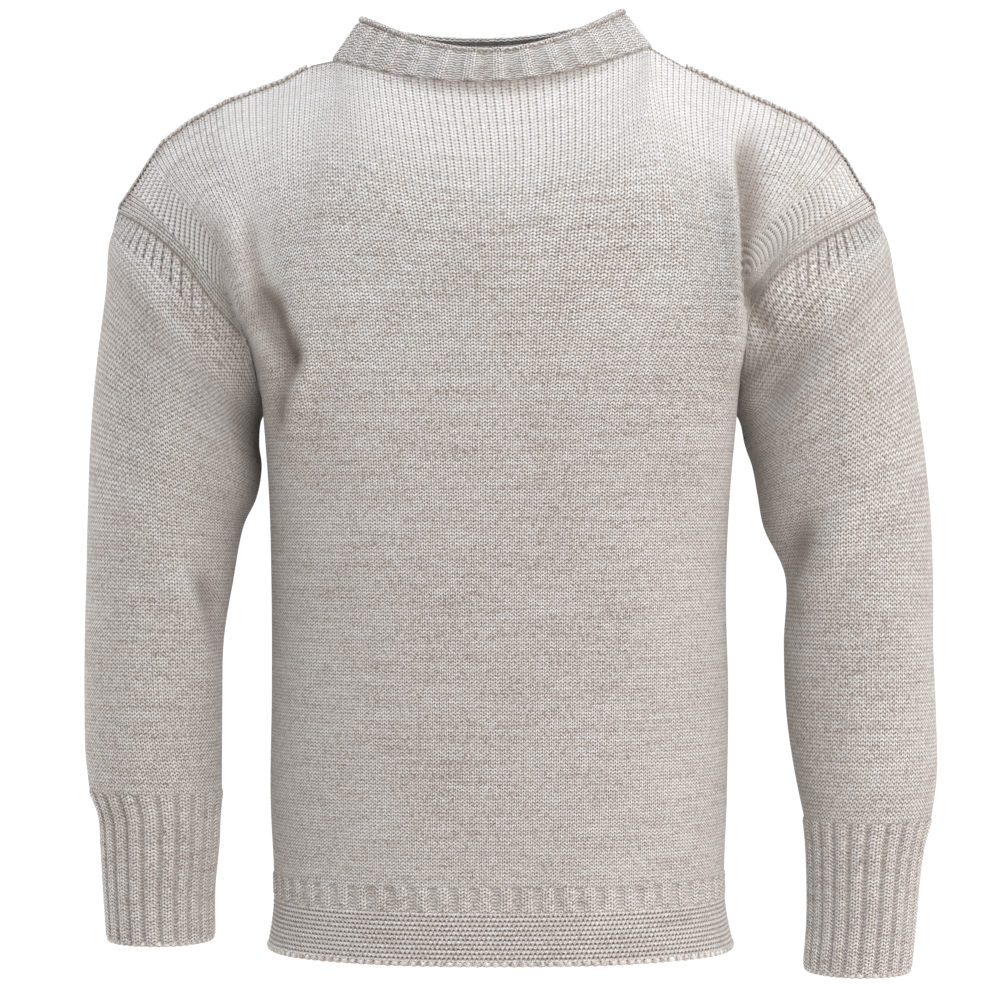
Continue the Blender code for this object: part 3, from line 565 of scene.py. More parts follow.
def unit(vectors: np.ndarray) -> np.ndarray:
    """Vectors scaled to a length of one."""
    length = np.linalg.norm(vectors, axis=-1, keepdims=True)
    return vectors / np.maximum(length, TINY)


def arc_lengths(rows: np.ndarray) -> np.ndarray:
    """Length along each row of a grid of points, from its first point."""
    steps = np.linalg.norm(np.diff(rows, axis=1), axis=2)
    return np.concatenate([np.zeros((len(rows), 1)), np.cumsum(steps, axis=1)], axis=1)


# -------- the body's smooth surface
def neck_points(ring: NeckRing, angles: np.ndarray) -> np.ndarray:
    """Points of a collar ring.

    Args:
        ring: the level's sizes.
        angles: 0 at the front, pi at the back, below 0 on the wearer's right.

    Returns:
        One point for each angle.
    """
    toward_front = np.maximum(np.cos(angles), 0.0)
    toward_back = np.maximum(-np.cos(angles), 0.0)
    x = ring.centre_x + ring.half_x * np.sin(angles)
    y = toward_front * ring.front_y + toward_back * ring.back_y
    z = ring.side_z + (ring.front_z - ring.side_z) * toward_front**2
    z = z + (ring.back_z - ring.side_z) * toward_back**2 + ring.tilt * np.sin(angles)
    return np.stack([x, y, z], axis=-1)


def shoulder_line(side: int) -> np.ndarray:
    """The shoulder seam from the gusset's apex to the sleeve."""
    xs = [side * (point.left_x if side > 0 else point.right_x) for point in SHOULDER_SEAM]
    return np.array([[x, 0.0, point.z] for x, point in zip(xs, SHOULDER_SEAM)])


@dataclass
class PanelForm:
    """The smooth surface of the front or back of the body.

    A place runs from -1 to 1 between the side seams, and a level is 0 at the rib band, 1 at the
    underarm and 2 at the top edge.

    Attributes:
        top_steps: places at which the top edge is worked out.
        quarter_steps: points of the fine line from the centre to a side seam.
        spread: where the top edge is read beside each place, as shares of the softening.
        guides: place across the panel and table of each lengthwise guide.
    """

    name: str
    top_steps: int = 4001
    quarter_steps: int = 160
    spread: tuple = (-1.0, -0.5, 0.0, 0.5, 1.0)
    guides: list = field(default_factory=list)
    top_places: np.ndarray = None
    top_points: np.ndarray = None
    cache: dict = field(default_factory=dict)

    def __post_init__(self) -> None:
        """Work out the top edge and the guides once."""
        self.top_places = np.linspace(-1.0, 1.0, self.top_steps)
        self.top_points = self.exact_top(self.top_places)
        if self.name == "front":
            pairs = [(SHOULDER_U, FRONT_SHOULDER), (FOLD_U, FRONT_FOLD), (1.0, FRONT_ARMHOLE)]
            centre = CENTRE_FRONT
        else:
            same = [(SHOULDER_U, BACK_SHOULDER), (FOLD_U, BACK_BLADE), (1.0, BACK_ARMHOLE)]
            pairs = [(place, {1: rows, -1: rows}) for place, rows in same]
            centre = CENTRE_BACK
        self.guides = [(0.0, centre)]
        self.guides += [(side * place, pair[side]) for place, pair in pairs for side in (1, -1)]
        self.guides.sort(key=lambda guide: guide[0])

    def torso_quarter(self, z: float, side: int) -> np.ndarray:
        """A fine line from the panel's centre to a side seam.

        Args:
            z: its height.
            side: 1 on the left and -1 on the right.

        Returns:
            Its points.
        """
        key = (z, side)
        if key not in self.cache:
            knots = [ring.z for ring in TORSO_RINGS]
            ring = TorsoRing(*curve(knots, TORSO_RINGS, z)[0])
            angle = np.linspace(0.0, math.pi / 2, self.quarter_steps)
            depth = ring.front_y if self.name == "front" else ring.back_y
            half_width = ring.left_x if side > 0 else ring.right_x
            x = side * half_width * np.sin(angle) ** (2 / ring.squareness)
            y = ring.side_y + (depth - ring.side_y) * np.cos(angle) ** (2 / ring.squareness)
            self.cache[key] = np.stack([x, y, np.full_like(x, z)], axis=1)
        return self.cache[key]

    def torso_row(self, z: float, places: np.ndarray) -> np.ndarray:
        """Points across the panel below the yoke.

        Args:
            z: the height.
            places: from -1 to 1 between the side seams.

        Returns:
            One point for each place.
        """
        row = np.zeros((len(places), 3))
        for side in (1, -1):
            mask = places * side >= 0
            row[mask] = along(self.torso_quarter(z, side), np.abs(places[mask]))
        return row

    def neck_angles(self, places: np.ndarray) -> np.ndarray:
        """The collar angles at which the panel's places meet the neckline."""
        reach = (math.pi / 2 - GUSSET_HALF_ANGLE) * places / NECK_CORNER_U
        return reach if self.name == "front" else math.pi - reach

    def exact_top(self, places: np.ndarray) -> np.ndarray:
        """Points of the top edge: neckline, gusset edge and shoulder seam.

        Args:
            places: from -1 to 1 between the armholes.

        Returns:
            One point for each place.
        """
        row = neck_points(NECK_BASE, self.neck_angles(places))
        for side in (1, -1):
            part = places * side
            seam = shoulder_line(side)
            corner = neck_points(NECK_BASE, self.neck_angles(np.array([side * NECK_CORNER_U])))[0]
            share = (part - NECK_CORNER_U) / (GUSSET_APEX_U - NECK_CORNER_U)
            on_gusset = (part > NECK_CORNER_U) & (part <= GUSSET_APEX_U)
            row[on_gusset] = corner + (seam[0] - corner) * share[on_gusset, None]
            on_seam = part > GUSSET_APEX_U
            row[on_seam] = along(seam, (part[on_seam] - GUSSET_APEX_U) / (1 - GUSSET_APEX_U))
        return row

    def top_row(self, places: np.ndarray) -> np.ndarray:
        """Points of the top edge, read from the fine table."""
        return read_points(places, self.top_places, self.top_points)

    def guide_points(self, v: float) -> np.ndarray:
        """Points of the lengthwise guides.

        Args:
            v: 0 at the underarm and 1 at the top edge.

        Returns:
            One point for each guide.
        """
        if ("guide", v) in self.cache:
            return self.cache[("guide", v)]
        low_z = UNDERARM_Z - GUIDE_TAIL * YOKE_HEIGHT
        points = []
        for place, rows in self.guides:
            side = -1 if place < 0 else 1
            here = np.array([place])
            knots = [0.0] + [row.v for row in rows] + [1.0]
            values = [self.torso_row(UNDERARM_Z, here)[0]]
            values += [np.array([side * row.x, row.y, row.z]) for row in rows]
            values.append(self.exact_top(here)[0])
            if abs(place) < 1.0:
                knots.insert(0, -GUIDE_TAIL)
                values.insert(0, self.torso_row(low_z, here)[0])
            points.append(curve(knots, values, v)[0])
        self.cache[("guide", v)] = np.array(points)
        return self.cache[("guide", v)]

    def row(self, level: float, places: np.ndarray) -> np.ndarray:
        """Points across the panel.

        Args:
            level: 0 at the rib band, 1 at the underarm, 2 at the top.
            places: from -1 to 1 between the panel's edges.

        Returns:
            One point for each place.
        """
        if level <= 1.0:
            return self.torso_row(RIB_TOP_Z + (UNDERARM_Z - RIB_TOP_Z) * level, places)
        v = level - 1.0
        guide_places = [place for place, _ in self.guides]
        near_foot = 1 - smoothstep(v / FOOT_REACH)
        near_head = smoothstep((v - 1 + HEAD_REACH) / HEAD_REACH)
        loft = curve(guide_places, self.guide_points(v), places)
        foot = curve(guide_places, self.guide_points(0.0), places)
        loft += near_foot * (self.torso_row(UNDERARM_Z, places) - foot)
        reach = NECK_SOFTENING * (1 - v) * (1 - np.abs(places))
        for share in self.spread:
            beside = places + share * reach
            head = curve(guide_places, self.guide_points(1.0), beside)
            loft += near_head * (self.top_row(beside) - head) / len(self.spread)
        return loft


# -------- the sleeves' smooth surface
@dataclass
class SleeveForm:
    """The smooth surface of one sleeve and its cuff. A turn is 0 outside and 0.25 in front."""

    side: int
    panels: dict

    def ring(self, ring: SleeveRing, turns: np.ndarray) -> np.ndarray:
        """Points round a ring.

        Args:
            ring: its row of the table.
            turns: places round it.

        Returns:
            One point for each turn.
        """
        angle = 2 * math.pi * turns
        power = 2 / ring.squareness
        across = signed_power(np.cos(angle), power)
        forward = signed_power(np.sin(angle), power)
        x = (ring.outer_x + ring.inner_x) / 2 + across * (ring.outer_x - ring.inner_x) / 2
        z = (ring.outer_z + ring.inner_z) / 2 + across * (ring.outer_z - ring.inner_z) / 2
        y = ring.centre_y - forward * ring.half_depth
        return np.stack([self.side * x, y, z], axis=1)

    def armhole(self, turns: np.ndarray) -> np.ndarray:
        """Points of the armhole, which the body's edge and the sleeve's head share.

        Args:
            turns: places round it.

        Returns:
            One point for each turn.
        """
        edge = np.array([float(self.side)])
        points = []
        for turn in turns:
            panel = self.panels["front" if turn <= 0.5 else "back"]
            points.append(panel.row(1.0 + abs(1 - 2 * turn), edge)[0])
        return np.array(points)

    def matched(self, turns: np.ndarray) -> np.ndarray:
        """Places round the first ring that lie straight below places of the armhole.

        Args:
            turns: places round the armhole.

        Returns:
            A turn of the ring for each.
        """
        ring = SLEEVE_RINGS[self.side][0]
        points = self.armhole(turns)
        outer = np.array([self.side * ring.outer_x, ring.outer_z])
        inner = np.array([self.side * ring.inner_x, ring.inner_z])
        half = (outer - inner) / 2
        across = (points[:, [0, 2]] - (outer + inner) / 2) @ half / (half @ half)
        forward = (ring.centre_y - points[:, 1]) / ring.half_depth
        power = ring.squareness / 2
        angle = np.arctan2(signed_power(forward, power), signed_power(across, power))
        matched = angle / (2 * math.pi) % 1.0
        return np.where((turns < 0.25) & (matched > 0.75), matched - 1.0, matched)

    def loft(self, first: np.ndarray, rings: list, turns: np.ndarray,
             levels: np.ndarray) -> np.ndarray:
        """Rows of a lengthwise spline.

        Args:
            first: the points of the first section.
            rings: the table's other sections.
            turns: places round the tube.
            levels: places along it, from 0 to 1.

        Returns:
            Points by level and turn.
        """
        sections = [first] + [self.ring(ring, turns) for ring in rings]
        middles = np.array([section.mean(axis=0) for section in sections])
        steps = np.linalg.norm(np.diff(middles, axis=0), axis=1)
        knots = np.concatenate([[0.0], np.cumsum(steps)]) / steps.sum()
        return curve(knots, sections, levels)

    def cuff(self, turns: np.ndarray, levels: np.ndarray) -> np.ndarray:
        """Points of the cuff, by level and turn."""
        rings = CUFF_RINGS[self.side]
        return self.loft(self.ring(rings[0], turns), rings[1:], turns, levels)

    def axis(self) -> np.ndarray:
        """The middle of the sleeve and cuff.

        Returns:
            A point for each ring.
        """
        ends = np.array([0.0, 0.5])
        rings = SLEEVE_RINGS[self.side] + CUFF_RINGS[self.side]
        return np.array([self.ring(ring, ends).mean(axis=0) for ring in rings])


# -------- folds
@dataclass
class FoldMap:
    """The creases' and wrinkles' height over the smooth surface."""

    creases: list
    fade: float = 0.3       # share of a crease's length over which each end fades
    turn: float = 1.6       # how soon a crease fades where the cloth turns away from its side
    reach: float = 3.0      # how far from its line a crease is looked for, in widths
    samples: int = 25

    def shift(self, points: np.ndarray, normals: np.ndarray) -> tuple[np.ndarray, np.ndarray]:
        """How far the cloth stands out at each point, and how deep in a trough it lies.

        Args:
            points: places on the smooth surface, one a row.
            normals: the surface's normals there.

        Returns:
            Heights and the troughs' depths in millimetres.
        """
        total = np.zeros(len(points))
        trough = np.zeros(len(points))
        flat = points[:, [0, 2]]
        steps = np.linspace(0.0, 1.0, self.samples)
        fade = smoothstep(steps / self.fade) * smoothstep((1 - steps) / self.fade)
        for crease in self.creases:
            line = np.array([crease.start, crease.middle, crease.end], dtype=float)
            line = curve([0.0, 0.5, 1.0], line, steps)
            low = line.min(axis=0) - self.reach * crease.width
            high = line.max(axis=0) + self.reach * crease.width
            near = ((flat > low) & (flat < high)).all(axis=1)
            near &= normals[:, 1] * crease.facing > 0
            gaps = np.linalg.norm(flat[near][:, None, :] - line[None, :, :], axis=2)
            height = (fade * np.exp(-((gaps / crease.width) ** 2))).max(axis=1)
            facing = smoothstep(normals[near, 1] * crease.facing * self.turn)
            total[near] += crease.depth * height * facing
            trough[near] += max(-crease.depth, 0.0) * height * facing
        return total, trough


# -------- walls of knitting
AXIS_DROP = 40.0        # how far below a point of the body its place on the axis is taken


def torso_centre(points: np.ndarray) -> np.ndarray:
    """A place on the garment's axis, a little below each point."""
    return points * np.array([0, 0, 1]) - np.array([0, 0, AXIS_DROP])


@dataclass
class Knitting:
    """A grid of points of one knitted piece, row by row, with what its material reads.

    A field of the grid may be given as one row, one column or one value, and is spread out here.

    Attributes:
        node: the solid that it replaces.
        points: rows x columns x 3, on the smooth surface.
        closed: whether each row joins up into a ring.
        relief: height of ribs and ridges over the surface.
        wale: stitches counted round or across the piece.
        course: rows of stitches counted along it.
        inside: extra thickness on the plain inside.
        ladder: 1 where garter ridges are worked into plain knitting.
        tint: 1 where the wool takes the seam brown: at seams and picked-up rows, and as painted shade in troughs, rib
            furrows and under the collar, the shoulder seam's cord and other edges.
        ridged: 1 where the columns of stitches stand out from each other, drawn as painted shade lines between them;
            raised in the upper yoke as painted top light, and below the collar as part of its painted shadow.
        zone: a second pair of coordinates, for ridges and seams.
        thin: one row and one column in this many are kept on the inside.
        centre: gives a place inside the garment for each point.
        normals: directions out of the cloth, shared at the seams.
    """

    node: str
    points: np.ndarray
    closed: bool
    relief: np.ndarray | float
    wale: np.ndarray
    course: np.ndarray
    inside: np.ndarray | float = 0.0
    ladder: np.ndarray | float = 0.0
    tint: np.ndarray | float = 0.0
    ridged: np.ndarray | float = 0.0
    zone: tuple = (0.0, 0.0)
    thin: tuple = (4, 4)
    centre: Callable = torso_centre
    normals: np.ndarray = None
    thing: bpy.types.Object = None

    def __post_init__(self) -> None:
        """Spread every field over the grid."""
        shape = self.points.shape[:2]
        for name in ("relief", "wale", "course", "inside", "ladder", "tint", "ridged"):
            setattr(self, name, np.broadcast_to(getattr(self, name), shape))
        self.zone = tuple(np.broadcast_to(values, shape) for values in self.zone)

    def own_normals(self) -> np.ndarray:
        """Normals of the grid.

        Returns:
            A direction for each point, turned away from the garment's inside.
        """
        if self.closed:
            across = np.roll(self.points, -1, axis=1) - np.roll(self.points, 1, axis=1)
        else:
            across = np.gradient(self.points, axis=1)
        normals = unit(np.cross(across, np.gradient(self.points, axis=0)))
        outward = self.points - self.centre(self.points.reshape(-1, 3)).reshape(self.points.shape)
        return normals if (normals * outward).sum() >= 0 else -normals

    def rim_mask(self) -> np.ndarray:
        """The open edges.

        Returns:
            True at their points.
        """
        mask = np.zeros(self.points.shape[:2], dtype=bool)
        mask[[0, -1]] = True
        if not self.closed:
            mask[:, [0, -1]] = True
        return mask

    def pulled(self) -> np.ndarray:
        """The points, with the edges drawn in by half a seam gap.

        Returns:
            The grid of points.
        """
        points = self.points.copy()
        share = SEAM_GAP / 2
        for edge, beside in ((0, 1), (-1, -2)):
            points[edge] += unit(self.points[beside] - self.points[edge]) * share
        if not self.closed:
            for edge, beside in ((0, 1), (-1, -2)):
                points[:, edge] += unit(self.points[:, beside] - self.points[:, edge]) * share
        return points


def kept(count: int, thin: int, ring: bool) -> np.ndarray:
    """Indices of the rows or columns that the inside shares."""
    chosen = np.arange(0, count, thin)
    return chosen if ring or chosen[-1] == count - 1 else np.append(chosen, count - 1)


def grid_faces(index: np.ndarray, closed: bool) -> np.ndarray:
    """Four-cornered faces of a grid.

    Args:
        index: point numbers by row and column.
        closed: whether each row is a ring.

    Returns:
        Four point numbers for each face.
    """
    if closed:
        index = np.concatenate([index, index[:, :1]], axis=1)
    corners = [index[:-1, :-1], index[:-1, 1:], index[1:, 1:], index[1:, :-1]]
    return np.stack([corner.reshape(-1) for corner in corners], axis=1)


def strip_faces(first: list, second: list, closed: bool) -> list:
    """Faces between two lines of points.

    Args:
        first: (key, point number) pairs, by rising key; in a ring the keys run up to 1.
        second: the same, and it may have fewer points.
        closed: whether the lines are rings.

    Returns:
        Tuples of point numbers.
    """
    if closed:
        first, second = (line + [(line[0][0] + 1.0, line[0][1])] for line in (first, second))
    faces = []
    i = 0
    j = 0
    while i < len(first) - 1 or j < len(second) - 1:
        next_first = first[i + 1][0] if i < len(first) - 1 else math.inf
        next_second = second[j + 1][0] if j < len(second) - 1 else math.inf
        if abs(next_first - next_second) < TINY:
            faces.append((first[i][1], first[i + 1][1], second[j + 1][1], second[j][1]))
            i += 1
            j += 1
        elif next_first < next_second:
            faces.append((first[i][1], first[i + 1][1], second[j][1]))
            i += 1
        else:
            faces.append((first[i][1], second[j + 1][1], second[j][1]))
            j += 1
    return faces


@dataclass
class KnittingShop:
    """Makes every wall of knitting, with shared directions where pieces meet.

    Attributes:
        places_per_mm: how closely two rims have to lie to share their directions.
        sharp: how far own and shared directions may part before the inside takes its own.
        trough_tint: the painted shade at the bottom of a trough.
        trough_depth: the depth, in millimetres, that has that full painted shade.
    """

    folds: FoldMap
    pieces: list = field(default_factory=list)
    places_per_mm: int = 50
    sharp: Ease = Ease(0.75, 0.15)
    trough_tint: float = 0.95
    trough_depth: float = 9.5

    def shared_normals(self) -> None:
        """Give each piece its normals, the same on both sides of a seam."""
        masks = [piece.rim_mask() for piece in self.pieces]
        for piece in self.pieces:
            piece.normals = piece.own_normals()
        points = [piece.points[mask] for piece, mask in zip(self.pieces, masks)]
        normals = [piece.normals[mask] for piece, mask in zip(self.pieces, masks)]
        keys = np.round(np.concatenate(points) * self.places_per_mm).astype(int)
        _, inverse = np.unique(keys, axis=0, return_inverse=True)
        inverse = inverse.reshape(-1)
        totals = np.zeros((inverse.max() + 1, 3))
        np.add.at(totals, inverse, np.concatenate(normals))
        shared = unit(totals[inverse])
        start = 0
        for piece, mask in zip(self.pieces, masks):
            count = int(mask.sum())
            piece.normals[mask] = shared[start:start + count]
            start += count

    def make(self) -> None:
        """Fold the smooth surfaces and build all the walls."""
        self.shared_normals()
        for piece in self.pieces:
            shape = piece.points.shape[:2]
            shift, trough = self.folds.shift(piece.points.reshape(-1, 3), piece.normals.reshape(-1, 3))
            piece.points = piece.points + piece.normals * shift.reshape(shape)[..., None]
            # Painted shade: the deeper a point lies in a trough, the darker its wool is drawn.
            shade = self.trough_tint * smoothstep(trough.reshape(shape) / self.trough_depth)
            piece.tint = np.maximum(piece.tint, shade)
        self.shared_normals()
        for piece in self.pieces:
            self.build(piece)

    def build(self, piece: Knitting) -> None:
        """Make one piece's closed wall as a mesh object.

        Args:
            piece: its grid, which also takes the object.
        """
        own = piece.own_normals()
        sharp = self.sharp.fall((own * piece.normals).sum(axis=2))[..., None]
        wall = unit(piece.normals * (1 - sharp) + own * sharp)
        base = piece.pulled()
        rows = kept(base.shape[0], piece.thin[0], False)
        columns = kept(base.shape[1], piece.thin[1], piece.closed)
        pick = np.ix_(rows, columns)
        outer = base + piece.normals * piece.relief[..., None]
        inner = base[pick] - wall[pick] * (WALL + piece.inside[pick])[..., None]
        outer_index = np.arange(outer[..., 0].size).reshape(outer.shape[:2])
        inner_index = outer_index.size + np.arange(inner[..., 0].size).reshape(inner.shape[:2])
        faces = grid_faces(outer_index, piece.closed).tolist()
        faces += grid_faces(inner_index, piece.closed).tolist()
        share = 1.0 / base.shape[1]
        for row in (0, -1):
            first = [(k * share, index) for k, index in enumerate(outer_index[row])]
            second = [(columns[k] * share, index) for k, index in enumerate(inner_index[row])]
            faces += strip_faces(first, second, piece.closed)
        if not piece.closed:
            for column in (0, -1):
                first = list(enumerate(outer_index[:, column]))
                second = list(zip(rows.tolist(), inner_index[:, column]))
                faces += strip_faces(first, second, False)
        points = np.concatenate([outer.reshape(-1, 3), inner.reshape(-1, 3)]) * MM

        def both(values: np.ndarray) -> np.ndarray:
            """A field's values for the outer and the inner points."""
            return np.concatenate([values.reshape(-1), values[pick].reshape(-1)])

        maps = {"Knit": (both(piece.wale), both(piece.course)),
                "Zone": tuple(both(values) for values in piece.zone)}
        fields = {name: both(getattr(piece, name)) for name in ("ladder", "tint", "ridged")}
        fields["inner"] = np.repeat([0.0, 1.0], [outer_index.size, inner_index.size])
        piece.thing = cloth_object(f"knit_{piece.node}", points, faces, maps, fields)


def numbers(elements: bpy.types.bpy_prop_collection, name: str) -> np.ndarray:
    """One whole number of each element of a mesh."""
    values = np.zeros(len(elements), dtype=int)
    elements.foreach_get(name, values)
    return values


def linked(name: str, data: bpy.types.ID) -> bpy.types.Object:
    """A new object in the scene."""
    thing = bpy.data.objects.new(name, data)
    bpy.context.scene.collection.objects.link(thing)
    return thing


WRAP_SHARE = 0.6        # a face that spans more of a map than this lies across its seam
CREASE_ANGLE = math.radians(55)


def cloth_object(name: str, points: np.ndarray, faces: list, maps: dict,
                 fields: dict) -> bpy.types.Object:
    """A smooth mesh object with its coordinates for the wool.

    Args:
        name: the object's name.
        points: places in metres.
        faces: tuples of point numbers.
        maps: for each UV map, the u and v of every point.
        fields: for each attribute, the value of every point.

    Returns:
        The linked object.
    """
    mesh = bpy.data.meshes.new(name)
    mesh.from_pydata(points.tolist(), [], [tuple(int(k) for k in face) for face in faces])
    corners = numbers(mesh.loops, "vertex_index")
    starts = numbers(mesh.polygons, "loop_start")
    totals = numbers(mesh.polygons, "loop_total")
    for title, (u, v) in maps.items():
        here = u[corners]
        spread = np.maximum.reduceat(here, starts) - np.minimum.reduceat(here, starts)
        wraps = np.repeat(spread > WRAP_SHARE * (u.max() - u.min()), totals) & (here < 0)
        here[wraps] *= -1
        layer = mesh.uv_layers.new(name=title)
        layer.data.foreach_set("uv", np.stack([here, v[corners]], axis=1).reshape(-1))
    for title, values in fields.items():
        mesh.attributes.new(title, "FLOAT", "POINT").data.foreach_set("value", values)
    thing = linked(name, mesh)
    bpy.ops.object.select_all(action="DESELECT")
    thing.select_set(True)
    bpy.context.view_layer.objects.active = thing
    bpy.ops.object.mode_set(mode="EDIT")
    bpy.ops.mesh.select_all(action="SELECT")
    bpy.ops.mesh.normals_make_consistent(inside=False)
    bpy.ops.object.mode_set(mode="OBJECT")
    bpy.ops.object.shade_smooth_by_angle(angle=CREASE_ANGLE)
    return thing


def dome(share: np.ndarray) -> np.ndarray:
    """A rib's rounded height across its width, for shares from 0 to 1."""
    return np.sqrt(np.sin(math.pi * np.clip(share, 0.0, 1.0)))


def rib_profile(phase: np.ndarray, knit_share: float) -> tuple[np.ndarray, np.ndarray]:
    """Heights and stitch counts across a run of 2x2 ribs.

    Args:
        phase: ribs counted across the piece.
        knit_share: the raised part of each rib's width.

    Returns:
        Height from -1 to 1, and wales, four to a rib.
    """
    share = phase - np.floor(phase)
    raised = share < knit_share
    up = share / knit_share
    down = (share - knit_share) / (1 - knit_share)
    height = np.where(raised, dome(up), -dome(down))
    wales = 4 * np.floor(phase) + np.where(raised, 2 * up, 2 + 2 * down)
    return height, wales


# -------- body panels
@dataclass
class BodyPanel:
    """The plain front or back, with the ladders and the strips beside the armholes.

    Lengths are in millimetres. Eases across the panel run over its places, those up the yoke over
    its level v, and the others over millimetres from an edge.

    Attributes:
        ridges: garter ridges that would fill the yoke from its foot to its top.
        rows_a_ridge: rows of the mesh to each.
        low_columns: where groups of columns begin below the yoke; column_counts has their sizes.
        high_from, high_to: where those places have moved to at the top edge.
        fan_from, fan_to: places, and the stitch that stands there at the top edge.
        ladder_from: the level where the ladder begins, on the right and on the left.
        ladder_slack: how far past its edges a column still belongs to the ladder.
    """

    form: PanelForm
    rows_low: int = 70
    ridges: int = 44
    rows_a_ridge: int = 5
    low_columns: tuple = (0.0, 0.56, 0.56 + 16 / WALES_HALF, 0.788, 0.894, 0.904, 1.0)
    column_counts: tuple = (36, 30, 2, 30, 2, 30)
    high_from: tuple = (0.0, 0.56, 0.60, 0.63, 0.67, 0.72, 0.778, 0.788, 0.894, 0.904, 1.0)
    high_to: tuple = (0.0, 0.56, 0.61, 0.66, 0.72, 0.79, 0.872, 0.880, 0.945, 0.953, 1.0)
    fan_from: tuple = (0.0, 0.44, 0.50, 0.56, 0.63, 0.70, 0.778, 0.788, 0.894, 1.0)
    fan_to: tuple = (0.0, 26.0, 31.5, 36.0, 43.5, 51.0, 59.4, 60.0, 67.0, 73.0)
    fan: Ease = Ease(1.1, 0.7)

    ladder_from: tuple = (0.34, 0.40)
    ladder_ease: float = 0.05
    ladder_slack: float = 0.002
    ladder_height: float = 0.95
    ladder_power: float = 0.8
    ladder_loops: float = 0.15
    strip: Ease = Ease(0.90, 0.01)
    strip_foot: Ease = Ease(0.0, 0.03)
    strip_height: float = 0.5

    on_seam: Ease = Ease(GUSSET_APEX_U, 0.02)
    seam_plain: Ease = Ease(6.0, 3.0)
    seam_foot: Ease = Ease(4.8, 2.6)
    seam_ridge: float = 1.0
    rope_shade_at: float = 5.2
    rope_shade_reach: float = 1.5
    rope_shade: float = 0.55

    armhole: Ease = Ease(2.6, 2.2)
    armhole_foot: Ease = Ease(0.0, 0.06)
    armhole_depth: float = 0.5
    armhole_shade: float = 0.7

    neck: Ease = Ease(3.2, 2.6)
    neck_depth: float = 0.4
    neck_line_shade: float = 0.9
    fringe: Ease = Ease(22.0, 22.0)
    fringe_width: Ease = Ease(105.0, 60.0)
    fringe_shade: float = 0.85
    fringe_ridged: float = 0.7

    upper: Ease = Ease(0.45, 0.4)
    upper_ridged: float = 0.9
    outer_wales: Ease = Ease(38.0, 12.0)
    outer_foot: Ease = Ease(0.08, 0.25)
    outer_ridged: float = 1.6
    strip_ridged: float = 1.3
    yoke_levels: np.ndarray = None

    def __post_init__(self) -> None:
        """Set the yoke's rows by the ladder's ridges."""
        self.yoke_levels = np.linspace(0, 1, self.ridges * self.rows_a_ridge + 1)

    def columns(self) -> np.ndarray:
        """The columns below the yoke.

        Returns:
            Their places, from one edge to the other.
        """
        half = [0.0]
        for low, high, count in zip(self.low_columns, self.low_columns[1:], self.column_counts):
            half += list(np.linspace(low, high, count + 1)[1:])
        half = np.array(half)
        return np.concatenate([-half[:0:-1], half])

    def places(self, level: float, low: np.ndarray) -> np.ndarray:
        """Where the columns lie at a level.

        Args:
            level: from 0 to 2.
            low: their places below the yoke.

        Returns:
            Their places there.
        """
        ease = smoothstep((level - 1.0 - STRAIGHT_UNTIL_V) / (1 - STRAIGHT_UNTIL_V))
        high = np.interp(np.abs(low), self.high_from, self.high_to)
        return np.sign(low) * (np.abs(low) + (high - np.abs(low)) * ease)

    def wales(self, low: np.ndarray, levels: np.ndarray) -> np.ndarray:
        """Stitches from the centre line, which fan outward toward the shoulders.

        Args:
            low: the columns' places below the yoke.
            levels: of the rows.

        Returns:
            Stitches by row and column.
        """
        plain = WALES_HALF * np.abs(low)
        fanned = np.interp(np.abs(low), self.fan_from, self.fan_to)
        fan = self.fan.rise(levels)[:, None]
        return np.sign(low) * (plain * (1 - fan) + fanned * fan)

    def in_ladder(self, low: np.ndarray, v: np.ndarray) -> np.ndarray:
        """Where the ladder is, between edges that wander a little on each side.

        Args:
            low: the columns' places below the yoke.
            v: the rows' levels in the yoke, as a column.

        Returns:
            1 in the ladder, by row and column.
        """
        part = np.abs(low)[None, :]
        inside = np.zeros((len(v), len(low)))
        for side, edges in LADDER_EDGES.items():
            level, inner, outer = np.array(edges).T
            after = part >= np.interp(v, level, inner) - self.ladder_slack
            before = part <= np.interp(v, level, outer) + self.ladder_slack
            inside[(low * side > 0)[None, :] & after & before] = 1.0
        start = np.where(low > 0, self.ladder_from[1], self.ladder_from[0])[None, :]
        return inside * smoothstep((v - start) / self.ladder_ease)

    def knit(self) -> Knitting:
        """Work out the panel's grid.

        Returns:
            Its wall of knitting.
        """
        low = self.columns()
        part = np.abs(low)[None, :]
        levels = np.concatenate([np.linspace(0, 1, self.rows_low + 1)[:-1], 1 + self.yoke_levels])
        v = np.clip(levels - 1.0, 0.0, 1.0)[:, None]
        points = np.array([self.form.row(level, self.places(level, low)) for level in levels])
        wale = self.wales(low, levels)
        yoke_course = COURSES_LOW + (levels - 1) * COURSES_YOKE
        course = np.where(levels <= 1, levels * COURSES_LOW, yoke_course)[:, None]
        down = np.linalg.norm(points - points[-1:], axis=2)
        edge_gap = np.minimum(*(np.linalg.norm(points - points[:, k][:, None], axis=2)
                                for k in (0, -1)))
        ladder = self.in_ladder(low, v)
        in_strip = self.strip.rise(part) * self.strip_foot.rise(v) * (1 - ladder)
        on_seam = self.on_seam.rise(part)
        at_armhole = self.armhole.fall(edge_gap) * self.armhole_foot.rise(v)
        at_neck = self.neck.fall(down) * (1 - on_seam)
        near_neck = self.fringe.fall(down) * (1 - on_seam)

        ridge = -np.cos(2 * math.pi * self.ridges * v)
        loops = 1 - self.ladder_loops + self.ladder_loops * cosine(wale)
        relief = self.ladder_height * ladder * signed_power(ridge, self.ladder_power) * loops
        relief = relief - self.strip_height * in_strip * cosine(wale)
        relief = relief * (1 - on_seam * self.seam_plain.fall(down))
        relief = relief + self.seam_ridge * on_seam * self.seam_foot.fall(down)
        relief = relief * (1 - at_armhole) - self.armhole_depth * at_armhole
        relief = relief - self.neck_depth * at_neck
